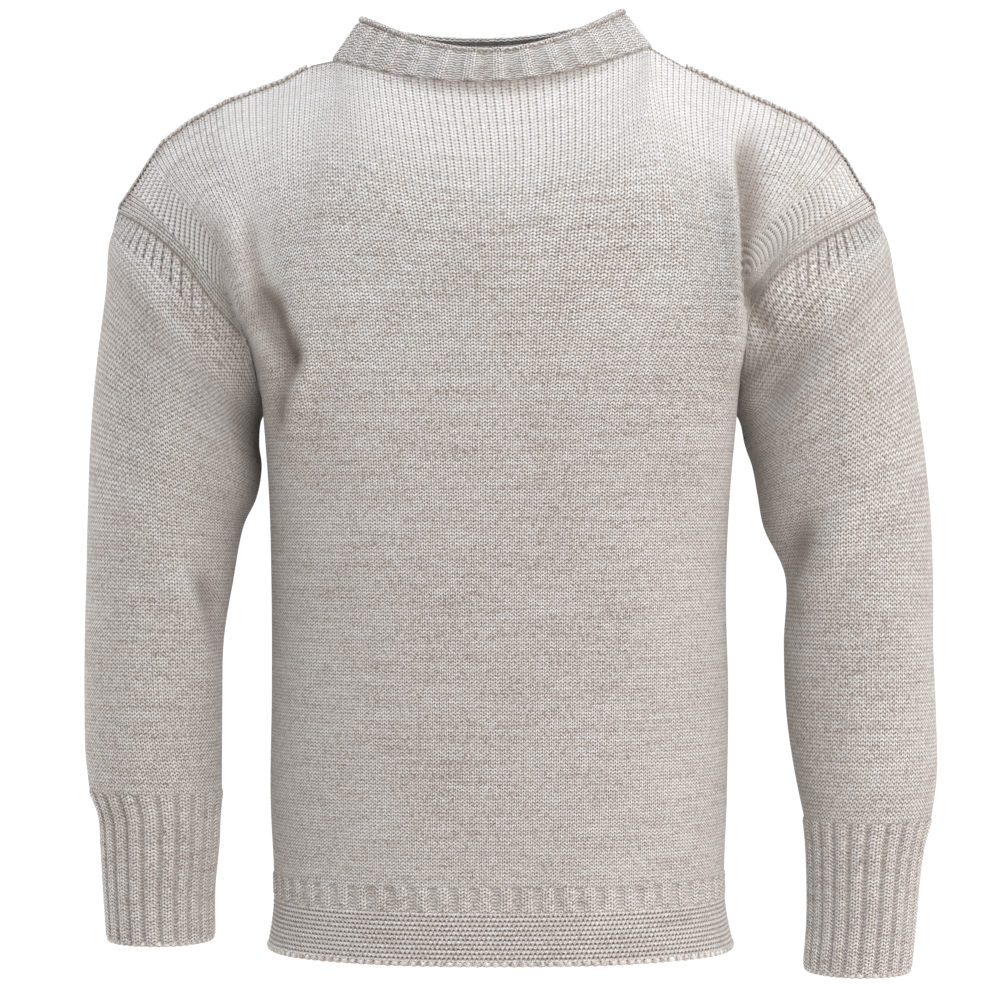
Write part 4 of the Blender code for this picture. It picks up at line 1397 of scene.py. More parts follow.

        # Seam brown along the armhole. Along the neckline the dark line is partly seam and partly painted shadow under
        # the collar; painted shade also falls in dots under the shoulder seam's cord and, fading downward, below the
        # collar's middle.
        under_rope = np.exp(-((down - self.rope_shade_at) / self.rope_shade_reach) ** 2)
        shades = [self.armhole_shade * at_armhole,
                  self.neck_line_shade * at_neck,
                  self.rope_shade * on_seam * under_rope * (0.5 + 0.5 * cosine(wale)),
                  self.fringe_shade * near_neck**2 * self.fringe_width.fall(np.abs(points[..., 0]))]
        outer = self.outer_wales.rise(np.abs(wale)) * self.outer_foot.rise(v)
        ridged = np.maximum(self.outer_ridged * outer, self.strip_ridged * in_strip)
        # Painted top light: the upper yoke is ridged, so its Vs flatten, lines of painted shade part its columns and
        # its marl is paler.
        ridged = np.maximum(self.upper_ridged * self.upper.rise(v), ridged)
        # Below the collar, ridged adds lines of painted shade as part of the collar's painted shadow.
        return Knitting(f"{self.form.name}_body", points, False, relief, wale, course, ladder=ladder,
                        tint=np.max(shades, axis=0), ridged=ridged + self.fringe_ridged * near_neck,
                        zone=(WALES_HALF * part, v * self.ridges), thin=(5, 4))


@dataclass
class RibBand:
    """The 2x2 rib between the welt and the plain body.

    Attributes:
        knit_share: the raised part of each rib's width.
        end: how the ribs begin at both edges.
        dash: where the furrows end in a dash of painted shade below the plain knitting.
    """

    form: PanelForm
    height: float = 1.0
    knit_share: float = 0.58
    purl_shade: float = 0.16
    end: Ease = Ease(0.0, 1.8)
    dash: Ease = Ease(1.9, 1.2)
    dash_shade: float = 0.55
    columns_a_rib: int = 12
    rows: int = 14

    def knit(self) -> Knitting:
        """Work out the band's grid.

        Returns:
            Its wall of knitting.
        """
        places = np.linspace(-1, 1, BODY_RIBS * self.columns_a_rib + 1)
        heights = np.linspace(WELT_TOP_Z, RIB_TOP_Z, self.rows + 1)
        points = np.array([self.form.torso_row(z, places) for z in heights])
        profile, wales = rib_profile((places + 1) / 2 * BODY_RIBS, self.knit_share)
        up = (heights - WELT_TOP_Z)[:, None]
        down = (RIB_TOP_Z - heights)[:, None]
        rise = self.end.rise(np.minimum(up, down))
        # Painted shade in the purl furrows, darker in a dash at their top.
        sunk = np.clip(-profile, 0.0, 1.0) * rise
        dash = self.dash_shade * self.dash.fall(down) * (profile < 0)
        return Knitting(f"{self.form.name}_rib_band", points, False, self.height * profile * rise,
                        wales, up / COURSE, tint=np.maximum(dash, self.purl_shade * sunk),
                        thin=(7, 6))


@dataclass
class Welt:
    """The garter-stitch hem, open at the side vents, with its cast-on edge.

    Attributes:
        edge_z: the height of the hem's edge, above the knots.
        flare: from where, across the hem, its corners turn outward.
        flare_out, flare_open: how far they go sideways, and away from the other hem.
        edge: how the ridges begin at the upper and lower edge.
        side_length: from the hem's middle to its side, for what fades there.
        vent, vent_shade: how the ridges and the shade end at the vents.
        beads, bead_radius: the knots of the cast-on edge; bead_inset is a share of the wall.
    """

    form: PanelForm
    height: float = 0.42
    columns_a_wale: int = 3
    rows_a_ridge: int = 6
    edge_z: float = -673.6
    flare: Ease = Ease(120.0, 55.0)
    flare_out: float = 4.0
    flare_open: float = 5.0
    edge: Ease = Ease(0.0, 1.5)
    side_length: float = 260.0
    vent: Ease = Ease(0.0, 2.0)
    vent_edge: Ease = Ease(2.5, 2.5)
    vent_shade: float = 0.25
    beads: int = 74
    bead_radius: float = 2.3
    bead_steps: int = 6
    bead_drop: float = 0.4
    bead_span: float = 0.997
    bead_inset: float = 0.5

    def row(self, z: float, places: np.ndarray) -> np.ndarray:
        """Points across the welt, with its side corners turned out below the vent's top.

        Args:
            z: the height.
            places: from -1 to 1 between the vents.

        Returns:
            One point for each place.
        """
        points = self.form.torso_row(z, places)
        facing = -1 if self.form.name == "front" else 1
        drop = (WELT_TOP_Z - z) / (WELT_TOP_Z - HEM_Z)
        near_side = self.flare.rise(np.abs(points[:, 0]))
        points[:, 0] += np.sign(points[:, 0]) * self.flare_out * near_side * drop**2
        points[:, 1] += facing * self.flare_open * near_side * drop
        return points

    def knit(self) -> Knitting:
        """Work out the welt's grid.

        Returns:
            Its wall of knitting.
        """
        places = np.linspace(-1, 1, 2 * WALES_HALF * self.columns_a_wale + 1)
        steps = WELT_RIDGES * self.rows_a_ridge
        shares = np.arange(steps + 1)[::-1] / steps
        depth = WELT_TOP_Z - self.edge_z
        points = np.array([self.row(WELT_TOP_Z - depth * share, places) for share in shares])
        wale = WALES_HALF * places
        phase = (WELT_RIDGES * shares)[:, None]
        rim = np.minimum(shares, 1 - shares)[:, None] * depth
        side = (1 - np.abs(places)) * self.side_length
        relief = -self.height * cosine(phase) * self.edge.rise(rim) * self.vent.rise(side)
        return Knitting(f"{self.form.name}_welt", points, False, relief, wale, phase * 2, ladder=1.0,
                        tint=self.vent_shade * self.vent_edge.fall(side), zone=(wale, phase),
                        thin=(11, 6))

    def cast_on(self) -> bpy.types.Object:
        """The row of small knots along the welt's lower edge.

        Returns:
            Their object.
        """
        places = np.linspace(-self.bead_span, self.bead_span, self.beads * self.bead_steps + 1)
        line = self.row(self.edge_z - self.bead_drop, places)
        facing = unit(line * np.array([1, 1, 0]))
        line = line - facing * WALL * self.bead_inset
        return knotted_edge(f"cast_on_{self.form.name}_welt", line, facing, self.beads,
                            self.bead_radius, False)


KNOT_SIDES = 8
KNOT_WAIST = 0.62       # of a knot's radius, between two knots
KNOT_END = 0.7          # of it, at the end of an open edge


def knotted_edge(name: str, line: np.ndarray, facing: np.ndarray, beads: int, radius: float,
                 closed: bool) -> bpy.types.Object:
    """A cord of small knots along an edge.

    Args:
        name: the object's name.
        line: points along its middle.
        facing: the outward direction at each point.
        beads: how many knots.
        radius: of a knot, in millimetres.
        closed: whether the edge is a ring.

    Returns:
        The linked object.
    """
    count = len(line)
    share = np.arange(count) / (count if closed else count - 1)
    knots = np.abs(np.sin(math.pi * beads * share))
    swell = radius * (KNOT_WAIST + (1 - KNOT_WAIST) * knots)
    if not closed:
        swell[[0, -1]] *= KNOT_END
    up = np.array([0.0, 0.0, 1.0])
    angle = 2 * math.pi * np.arange(KNOT_SIDES) / KNOT_SIDES
    ring = facing[:, None, :] * np.cos(angle)[None, :, None] + up * np.sin(angle)[None, :, None]
    points = (line[:, None, :] + ring * swell[:, None, None]) * MM
    index = np.arange(count * KNOT_SIDES).reshape(count, KNOT_SIDES)
    faces = grid_faces(index, True).tolist()
    if closed:
        last = np.stack([index[-1], np.roll(index[-1], -1), np.roll(index[0], -1), index[0]], axis=1)
        faces += last.tolist()
    else:
        faces += [tuple(index[0][::-1]), tuple(index[-1])]
    around = np.tile(np.arange(KNOT_SIDES) / KNOT_SIDES, count)
    maps = dict.fromkeys(("Knit", "Zone"), (np.repeat(share * beads, KNOT_SIDES), around))
    plain = dict.fromkeys(("ladder", "tint", "ridged", "inner"), np.zeros(index.size))
    return cloth_object(name, points.reshape(-1, 3), faces, maps, plain)


# -------- sleeves and cuffs
@dataclass
class Sleeve:
    """A sleeve with the short ribs of its head.

    Attributes:
        yoke_levels: the body's rows, which the head's columns meet.
        head_ribs: furrows that would go once round the head.
        head_middle: place across and in depth that they spread from.
        head_radius: how far they reach from it.
        furrow_gain: how steeply a furrow's sides fall.
        ribs_end: the furrow from which they fade toward the underarm.
        taper, taper_length: how much shorter the lower furrows are.
        head_start, head_end: where a furrow begins and ends below the armhole.
        seam, seam_depth, seam_shade: the picked-up row at the armhole.
    """

    form: SleeveForm
    yoke_levels: np.ndarray
    length: float = 330.0
    rows: int = 120
    head_rows: int = 12
    wale: float = 3.6
    rib_height: float = 1.0
    head_ribs: float = 54.0
    head_middle: tuple = (245.0, -1.0)
    head_radius: float = 66.0
    furrow_gain: float = 2.2
    ribs_end: Ease = Ease(19.0, 6.0)
    taper: Ease = Ease(4.0, 12.0)
    taper_length: float = 9.0
    head_start: Ease = Ease(0.8, 1.2)
    head_end: Ease = Ease(SLEEVE_HEAD_LENGTH + 1.5, 2.5)
    seam: Ease = Ease(2.4, 2.0)
    seam_depth: float = 0.5
    seam_shade: float = 0.75

    def turns(self) -> np.ndarray:
        """Places round the tube that the armhole's rows share.

        Returns:
            Turns, from 0 on the outside.
        """
        front = (1 - self.yoke_levels[::-1]) / 2
        back = (1 + self.yoke_levels[1:-1]) / 2
        return np.concatenate([front, back])

    def centre(self) -> Callable:
        """Find the middle of the tube.

        Returns:
            A function that gives the axis point nearest to each place.
        """
        axis = self.form.axis()

        def nearest(points: np.ndarray) -> np.ndarray:
            """The axis point nearest to each place."""
            gaps = np.linalg.norm(points[:, None, :] - axis[None, :, :], axis=2)
            return axis[gaps.argmin(axis=1)]

        return nearest

    def stitches(self, points: np.ndarray, turns: np.ndarray) -> np.ndarray:
        """Count stitches from the outside both ways, to the underarm.

        Args:
            points: the grid.
            turns: of its columns.

        Returns:
            Stitches by row and column, below 0 on the back.
        """
        length = arc_lengths(np.concatenate([points, points[:, :1]], axis=1))
        round_trip = length[:, -1:]
        middle = int(np.argmin(np.abs(turns - 0.5)))
        count = length[:, :-1].copy()
        count[:, middle + 1:] -= round_trip
        count[:, middle] = -0.5 * round_trip[:, 0]
        return count / self.wale

    def furrows(self, points: np.ndarray) -> np.ndarray:
        """Count the head's furrows from the top of the shoulder to each point.

        They lie between spokes and upright lines, so they fan a little.

        Args:
            points: the grid.

        Returns:
            Furrows by row and column.
        """
        across = self.form.side * points[..., 0] - self.head_middle[0]
        around = np.abs(np.arctan2(self.head_middle[1] - points[..., 1], across))
        upright = np.arccos(np.clip(across / self.head_radius, -1, 1))
        return self.head_ribs * (around + upright) / (4 * math.pi)

    def knit(self) -> Knitting:
        """Work out the sleeve's grid.

        Returns:
            Its wall of knitting.
        """
        turns = self.turns()
        levels = two_runs(SLEEVE_HEAD_LENGTH / self.length, self.head_rows, self.rows)
        down = (levels * self.length)[:, None]
        rings = SLEEVE_RINGS[self.form.side]
        points = self.form.loft(self.form.armhole(turns), rings, self.form.matched(turns), levels)
        ribs = self.furrows(points)
        taper = self.taper_length * self.taper.rise(ribs)
        in_head = self.head_start.rise(down) * self.head_end.fall(down + taper)
        furrow = np.clip(cosine(ribs) * self.furrow_gain + 1 - self.furrow_gain, 0.0, 1.0)
        at_seam = self.seam.fall(down)
        relief = -self.rib_height * furrow * self.ribs_end.fall(ribs) * in_head
        relief = relief - self.seam_depth * at_seam
        return Knitting(f"sleeve_{SIDE_NAMES[self.form.side]}", points, True, relief,
                        self.stitches(points, turns), down / COURSE, zone=(ribs, down + taper),
                        tint=self.seam_shade * at_seam, thin=(4, 3), centre=self.centre())


@dataclass
class Cuff:
    """A long ribbed cuff with its cast-on edge.

    Attributes:
        knit_share: the raised part of each rib's width.
        join, join_shade: the painted shade below the sleeve.
        last: the level of the knitting's edge, above the knots, which lie at knots_at.
    """

    form: SleeveForm
    centre: Callable
    height: float = 1.4
    knit_share: float = 0.7
    purl_shade: float = 0.42
    top: Ease = Ease(0.0, 3.0)
    foot: Ease = Ease(0.0, 2.0)
    join: Ease = Ease(2.0, 2.0)
    join_shade: float = 0.25
    columns_a_rib: int = 12
    rows: int = 56
    length: float = 116.0
    last: float = 0.985
    knots_at: float = 0.988
    beads: int = 44
    bead_radius: float = 1.9
    bead_steps: int = 6
    bead_inset: float = 0.4

    def knit(self) -> Knitting:
        """Work out the cuff's grid.

        Returns:
            Its wall of knitting.
        """
        turns = even_turns(CUFF_RIBS * self.columns_a_rib)
        levels = np.linspace(0, self.last, self.rows + 1)
        down = (levels * self.length)[:, None]
        profile, wales = rib_profile(signed(turns) * CUFF_RIBS, self.knit_share)
        rise = self.top.rise(down) * self.foot.rise(levels[-1] * self.length - down)
        # Painted shade deep in the purl furrows and below the sleeve.
        sunk = np.clip(-profile, 0.0, 1.0) ** 3 * rise
        tint = np.maximum(self.join_shade * self.join.fall(down), self.purl_shade * sunk)
        return Knitting(f"cuff_{SIDE_NAMES[self.form.side]}", self.form.cuff(turns, levels), True,
                        self.height * profile * rise, wales, down / COURSE, tint=tint,
                        centre=self.centre)

    def cast_on(self) -> bpy.types.Object:
        """The small knots round the cuff's open end.

        Returns:
            Their object.
        """
        line = self.form.cuff(even_turns(self.beads * self.bead_steps), np.array([self.knots_at]))[0]
        facing = unit((line - line.mean(axis=0)) * np.array([1, 1, 0]))
        line = line - facing * WALL * self.bead_inset
        return knotted_edge(f"cast_on_cuff_{SIDE_NAMES[self.form.side]}", line, facing, self.beads,
                            self.bead_radius, True)


def even_turns(count: int) -> np.ndarray:
    """Even places round a ring."""
    return np.arange(count) / count


def signed(turns: np.ndarray) -> np.ndarray:
    """Turns from -0.5 to 0.5."""
    return np.where(turns >= 0.5, turns - 1, turns)


# -------- neck
@dataclass
class Collar:
    """The ribbed stand collar with its rolled edge.

    Levels run from 0 at the neckline to 1 at the top, and the edge's own from 0 where the ribs
    stop to 1 at the top.

    Attributes:
        knit_share: the raised part of each rib's width.
        groove, groove_span: the furrow below the roll.
        roll, roll_from, roll_span: the rolled edge's thickness and place.
        roll_power: how full the roll is.
        base, base_depth, base_shade: the picked-up row at the neckline, darkened partly as seam and partly as painted
            shade.
        dark_at, dark_reach, dark_shade: the painted shade in the groove below the roll.
        depth: of the collar, for its rows of stitches.
    """

    height: float = 1.2
    knit_share: float = 0.42
    purl_shade: float = 0.2
    columns_a_rib: int = 14
    rib_rows: int = 34
    edge_rows: int = 20
    ribs_until: float = 0.86
    ribs_top: Ease = Ease(0.86, 0.03)
    ribs_foot: Ease = Ease(0.0, 0.07)
    groove: float = -1.0
    groove_span: float = 0.36
    roll: float = 1.7
    roll_from: float = 0.28
    roll_span: float = 0.78
    roll_inside: float = 1.2
    roll_power: float = 0.7
    base: Ease = Ease(0.07, 0.05)
    base_depth: float = 0.5
    base_shade: float = 0.85
    dark_at: float = 0.16
    dark_reach: float = 0.09
    dark_shade: float = 0.45
    depth: float = 37.0

    def knit(self) -> Knitting:
        """Work out the collar's grid.

        Returns:
            Its wall of knitting.
        """
        turns = signed(even_turns(COLLAR_RIBS * self.columns_a_rib))
        levels = two_runs(self.ribs_until, self.rib_rows, self.edge_rows)
        rings = curve([0.0, 0.5, 1.0], np.array([NECK_BASE, NECK_MIDDLE, NECK_TOP]), levels)
        points = np.array([neck_points(NeckRing(*ring), turns * 2 * math.pi) for ring in rings])
        profile, wales = rib_profile(turns * COLLAR_RIBS, self.knit_share)
        levels = levels[:, None]
        ribbed = self.ribs_top.fall(levels) * self.ribs_foot.rise(levels)
        above = np.clip((levels - self.ribs_until) / (1 - self.ribs_until), 0.0, 1.0)
        in_roll = np.clip((above - self.roll_from) / self.roll_span, 0, 1)
        roll = self.roll * np.sin(math.pi * in_roll) ** self.roll_power
        groove = self.groove * np.sin(math.pi * np.clip(above / self.groove_span, 0, 1)) ** 2
        at_base = self.base.fall(levels)
        relief = self.height * profile * ribbed + (roll + groove - self.base_depth * at_base)
        # Painted shade below the roll and in the purl furrows; the base is partly seam brown and partly painted shade.
        dark = np.exp(-((above - self.dark_at) / self.dark_reach) ** 2) * (above > 0)
        sunk = np.clip(-profile, 0.0, 1.0) * ribbed
        tint = np.maximum(self.base_shade * at_base + self.dark_shade * dark, self.purl_shade * sunk)
        inside = self.roll_inside * np.sin(math.pi * above) ** self.roll_power
        return Knitting("collar", points, True, relief, wales, levels * self.depth / COURSE,
                        inside=inside, tint=tint, zone=(wales, above), thin=(2, 7))


@dataclass
class NeckGusset:
    """The small plain triangle between the collar and the shoulder seam.

    Attributes:
        tip: how far it reaches toward its apex.
        wales, courses: stitches from its middle to its corner, and up to its apex.
    """

    side: int
    rows: int = 10
    columns: int = 12
    tip: float = 0.97
    wales: float = 3.0
    courses: float = 9.0
    base: Ease = Ease(0.12, 0.12)
    base_shade: float = 0.7

    def knit(self) -> Knitting:
        """Work out the gusset's grid.

        Returns:
            Its wall of knitting.
        """
        across = np.linspace(-1, 1, self.columns + 1)
        base = neck_points(NECK_BASE, self.side * (math.pi / 2 + GUSSET_HALF_ANGLE * across))
        apex = shoulder_line(self.side)[0]
        shares = np.linspace(0, self.tip, self.rows + 1)[:, None]
        points = base[None] + (apex - base)[None] * shares[..., None]
        # Its base, against the collar, is darker: partly seam brown and partly painted shade.
        return Knitting(f"neck_gusset_{SIDE_NAMES[self.side]}", points, False, 0.0,
                        self.wales * across, shares * self.courses,
                        tint=self.base_shade * self.base.fall(shares), thin=(2, 2))


@dataclass
class ShoulderSeam:
    """The ridge of linked stitches along one shoulder.

    Attributes:
        span: where it begins and ends along the seam.
        lift, forward: its place over the seam and in front of it.
    """

    side: int
    pitch: float = 4.6
    radius: float = 2.1
    steps: int = 6
    span: tuple = (0.012, 0.985)
    lift: float = 0.9
    forward: float = -2.4

    def make(self) -> bpy.types.Object:
        """Lay the row of linked stitches on the seam.

        Returns:
            Its object.
        """
        seam = shoulder_line(self.side)
        length = np.linalg.norm(np.diff(seam, axis=0), axis=1).sum()
        beads = int(round(length / self.pitch))
        line = along(seam, np.linspace(*self.span, beads * self.steps + 1))
        across = np.array([0.0, 1.0, 0.0])
        up = unit(np.cross(np.gradient(line, axis=0), across))
        up *= np.sign(up[:, 2:3])
        line = line + up * self.lift + across * self.forward
        return knotted_edge(f"shoulder_seam_{SIDE_NAMES[self.side]}", line,
                            np.broadcast_to(across, line.shape), beads, self.radius, False)


# -------- shader sums
class Value:
    """A shader value on which Python's operators add Math nodes."""

    def __init__(self, graph: Graph, source: object) -> None:
        """Wrap a socket or a number."""
        self.graph = graph
        self.source = source

    def math(self, operation: str, *others: object) -> Value:
        """Add a Math node.

        Args:
            operation: what it does.
            others: values or numbers that it takes after this one.

        Returns:
            Its result.
        """
        inputs = dict(enumerate((self.source, *others)))
        node = self.graph.node("ShaderNodeMath", {"operation": operation}, inputs)
        return Value(self.graph, node.outputs[0])

    def __add__(self, other: object) -> Value:
        """Sum."""
        return self.math("ADD", other)

    __radd__ = __add__

    def __mul__(self, other: object) -> Value:
        """Product."""
        return self.math("MULTIPLY", other)

    __rmul__ = __mul__

    def __sub__(self, other: object) -> Value:
        """Difference."""
        return self.math("SUBTRACT", other)

    def __rsub__(self, other: object) -> Value:
        """Difference, the other way round."""
        return Value(self.graph, other).math("SUBTRACT", self)

    def __truediv__(self, other: object) -> Value:
        """Quotient."""
        return self.math("DIVIDE", other)

    def fraction(self) -> Value:
        """The part past the whole number."""
        return self.math("FRACT")

    def whole(self) -> Value:
        """The whole number below."""
        return self.math("FLOOR")

    def size(self) -> Value:
        """The value without its sign."""
        return self.math("ABSOLUTE")

    def most(self, other: object) -> Value:
        """The larger of two values."""
        return self.math("MAXIMUM", other)

    def wave(self) -> Value:
        """Half a cosine's height for a turn of 1: 1 at whole numbers and 0 between them."""
        return (self * (2 * math.pi)).math("COSINE") * 0.5 + 0.5

    def ease(self, low: float, high: float) -> Value:
        """A soft step.

        Args:
            low: where it is 0.
            high: where it is 1.

        Returns:
            A value from 0 to 1.
        """
        settings = {"interpolation_type": "SMOOTHSTEP", "clamp": True}
        node = self.graph.node("ShaderNodeMapRange", settings,
                               {"Value": self.source, "From Min": low, "From Max": high})
        return Value(self.graph, node.outputs[0])


class Graph:
    """The nodes of a material or a world."""

    def __init__(self, owner: bpy.types.ID) -> None:
        """Start with no nodes."""
        owner.use_nodes = True
        self.tree = owner.node_tree
        self.tree.nodes.clear()

    def node(self, kind: str, settings: dict, inputs: dict) -> bpy.types.Node:
        """Add a node.

        Args:
            kind: the node's type.
            settings: its properties, set first.
            inputs: for each socket's name or number, a value or a socket to link.

        Returns:
            The node.
        """
        node = self.tree.nodes.new(kind)
        for key, value in settings.items():
            setattr(node, key, value)
        for key, value in inputs.items():
            value = value.source if isinstance(value, Value) else value
            if isinstance(value, bpy.types.NodeSocket):
                self.tree.links.new(value, node.inputs[key])
            else:
                node.inputs[key].default_value = value
        return node

    def uv(self, name: str) -> tuple[Value, Value]:
        """The coordinates of a UV map.

        Args:
            name: the map's name.

        Returns:
            Its two values.
        """
        source = self.node("ShaderNodeUVMap", {"uv_map": name}, {})
        parts = self.node("ShaderNodeSeparateXYZ", {}, {0: source.outputs[0]})
        return Value(self, parts.outputs[0]), Value(self, parts.outputs[1])

    def attribute(self, name: str) -> Value:
        """A float attribute of the mesh."""
        node = self.node("ShaderNodeAttribute", {"attribute_name": name}, {})
        return Value(self, node.outputs["Fac"])

    def vector(self, x: object, y: object, z: object = 0.0) -> bpy.types.NodeSocket:
        """A vector of three values."""
        return self.node("ShaderNodeCombineXYZ", {}, {0: x, 1: y, 2: z}).outputs[0]

    def noise(self, vector: object, scale: float, detail: float = 2.0, rough: float = 0.5) -> Value:
        """Smooth noise at places, about 0.5 in the middle."""
        inputs = {"Vector": vector, "Scale": scale, "Detail": detail, "Roughness": rough}
        return Value(self, self.node("ShaderNodeTexNoise", {}, inputs).outputs[0])

    def chance(self, x: object, y: object) -> Value:
        """An even random number from 0 to 1 for each pair of whole numbers."""
        inputs = {"Vector": self.vector(x, y)}
        return Value(self, self.node("ShaderNodeTexWhiteNoise", {}, inputs).outputs[0])

    def blend(self, share: Value, first: object, second: object) -> bpy.types.NodeSocket:
        """A colour between two."""
        inputs = {0: share, 6: first, 7: second}
        return self.node("ShaderNodeMix", {"data_type": "RGBA"}, inputs).outputs[2]

    def surface(self, inputs: dict) -> None:
        """End a material in a shader with these values and links."""
        shader = self.node("ShaderNodeBsdfPrincipled", {}, inputs)
        self.node("ShaderNodeOutputMaterial", {}, {"Surface": shader.outputs[0]})


# -------- wool
class Stitch(Enum):
    """How a piece is knitted."""

    PLAIN = "plain"
    RIB = "rib"
    WELT = "welt"
    HEAD = "head"
    CORD = "cord"


@dataclass(frozen=True)
class Wool:
    """Five-ply worsted in an undyed marl.

    Attributes:
        dark: the brown fibre in the marl.
        cool: the blue-grey fibre in the marl.
        gap: the painted shade between stitches.
        seam: the brown of a seam or a picked-up row, which also serves as the painted shade in troughs, furrows and
            under edges.
        fibres, flecks, broad: scale, detail and roughness of the yarn's noise.
        marl: how strongly each kind of unevenness colours the yarn.
        stitch_depth: of the bump, in metres.
        fibre_height: of the fibres, as a share of it.
    """

    light: tuple = (0.90, 0.88, 0.87, 1.0)
    base: tuple = (0.72, 0.66, 0.62, 1.0)
    dark: tuple = (0.34, 0.255, 0.21, 1.0)
    cool: tuple = (0.62, 0.66, 0.72, 1.0)
    gap: tuple = (0.085, 0.062, 0.052, 1.0)
    seam: tuple = (0.23, 0.175, 0.14, 1.0)
    fibres: tuple = (1500.0, 3.0, 0.7)
    flecks: tuple = (620.0, 3.0, 0.65)
    broad: tuple = (14.0, 2.0, 0.5)
    marl: tuple = (("fibres", 1.5), ("flecks", 1.25), ("streaks", 0.5), ("broad", 0.25),
                   ("legs", 0.3), ("specks", 0.4))
    stitch_depth: float = 0.0011
    fibre_height: float = 0.22
    roughness: float = 0.92
    sheen: float = 0.32
    sheen_roughness: float = 0.55
    sheen_tint: tuple = (0.93, 0.89, 0.85, 1.0)
    specular: float = 0.18

    def plain(self, u: Value, v: Value) -> tuple[Value, Value]:
        """Plain knitting: a column of Vs to each wale.

        Args:
            u: stitches across.
            v: rows of stitches.

        Returns:
            Height, and the painted shade in the gaps between stitches.
        """
        # Each stitch has two legs, which slant away from its middle.
        middle = (u.fraction() - 0.5).size()
        leg = (middle - 0.25) * 4
        across = (1 - leg * leg).most(0.0)
        slant = v - middle
        turn = slant.fraction() * 2 - 1
        band = 1 - turn * turn
        height = across * 0.5 + band * 0.5
        depth = u.graph.chance((u * 2 + 0.5).whole(), slant.whole()) * 0.5 + 0.75
        # A dot of painted shade lies where two legs meet, and a line of painted shade between columns that stand out.
        ridged = u.graph.attribute("ridged")
        dots = (1 - band) * (1 - across * 0.8) * (1.65 - ridged * 1.25).most(0.4)
        between = middle.ease(0.30, 0.47) * (slant.wave() * 0.8 + 0.2)
        gap = dots * depth + between * (ridged * 0.5 + 0.08)
        return height, gap

    def purl(self, u: Value, v: Value) -> tuple[Value, Value]:
        """Height and painted gap shade of the back of plain knitting: rows of waves."""
        row = (v + u.wave() * 0.34).fraction() * 2 - 1
        height = 1 - row * row
        return height, (1 - height) * 0.45 + 0.05

    def garter(self, u: Value, ridges: Value, stagger: float, soft: float) -> tuple[Value, Value]:
        """Garter stitch: ridges of loops, with dashes of painted shade between them.

        Args:
            u: stitches across.
            ridges: counted up the piece.
            stagger: how far each row of dashes is moved, in stitches.
            soft: how soft the dashes are, from 0 to 0.5.

        Returns:
            Height, and the dark gap between ridges.
        """
        dash = (u + (ridges + 0.5).whole() * stagger).wave()
        crest = 1 - (ridges + dash * 0.4 - 0.2).wave()
        height = crest * (1 - dash * 0.3)
        dashes = dash.ease(0.5 - soft, 0.5 + soft) * 0.75 + 0.2
        return height, (1 - crest).ease(0.6 * soft, 1 - 0.3 * soft) * dashes

    def cord(self, u: Value, v: Value) -> tuple[Value, Value]:
        """Height and painted gap shade of small knots."""
        twist = (u * 2 + v).wave()
        knot = u.wave()
        return twist * 0.3, knot * knot * 0.42 + 0.04

    def pattern(self, graph: Graph, stitch: Stitch) -> tuple[Value, Value]:
        """A piece's own stitches.

        Args:
            graph: the material's nodes.
            stitch: how the piece is knitted.

        Returns:
            Height and painted gap shade.
        """
        u, v = graph.uv("Knit")
        if stitch is Stitch.CORD:
            return self.cord(u, v)
        first, second = graph.uv("Zone")
        inner = graph.attribute("inner").ease(0.4, 0.6)
        back = self.purl(u, v)
        if stitch is Stitch.WELT:
            front = self.garter(u, second, 0.5, 0.5)
        elif stitch is Stitch.RIB:
            # Two stitches of every four are purled.
            share = ((u / 4).fraction() - 0.25).size().ease(0.235, 0.265)
            front = self.between(share, self.plain(u, v), back)
        elif stitch is Stitch.HEAD:
            # Furrows begin below the armhole, end at their foot and fade toward the underarm; they are drawn in
            # painted shade, lighter at the rungs.
            head = (1 - second.ease(18.5, 20.5)) * second.ease(0.8, 2.0)
            groove = first.wave().ease(0.82, 0.94) * head * (1 - first.ease(13.0, 19.0))
            rungs = (v * 0.9).wave()
            front = self.between(groove, self.plain(u, v), (rungs * 0.3, 1.0 - rungs * 0.45))
        else:
            ladder = graph.attribute("ladder").ease(0.3, 0.7)
            # The ladder's garter ridges, with dashes of painted shade between them.
            height, gap = self.garter(u, second, 0.0, 0.25)
            front = self.between(ladder, self.plain(u, v), (height, gap * 1.2))
        return self.between(inner, front, back)

    def between(self, share: Value, first: tuple, second: tuple) -> tuple[Value, Value]:
        """A mix of two patterns."""
        return tuple(a * (1 - share) + b * share for a, b in zip(first, second))

    def make(self, name: str, stitch: Stitch) -> bpy.types.Material:
        """Build the material for one way of knitting.

        Args:
            name: the material's name.
            stitch: how the piece is knitted.

        Returns:
            The material.
        """
        material = bpy.data.materials.new(name)
        graph = Graph(material)
        height, gap = self.pattern(graph, stitch)
        u, v = graph.uv("Knit")
        place = graph.node("ShaderNodeTexCoord", {}, {}).outputs["Object"]
        specks = graph.chance((u * 4).whole(), (v * 3).whole() + 7)
        unevenness = {
            "fibres": graph.noise(place, *self.fibres),
            "flecks": graph.noise(place, *self.flecks),
            "streaks": graph.noise(graph.vector(u * 0.06, v * 0.55), 1.0),
            "broad": graph.noise(place, *self.broad),
            "legs": graph.chance((u * 2).whole(), (v * 2).whole()),
            "specks": specks,
        }
        tone = 0.5
        for kind, weight in self.marl:
            tone = (unevenness[kind] - 0.5) * weight + tone
        ridged = graph.attribute("ridged")
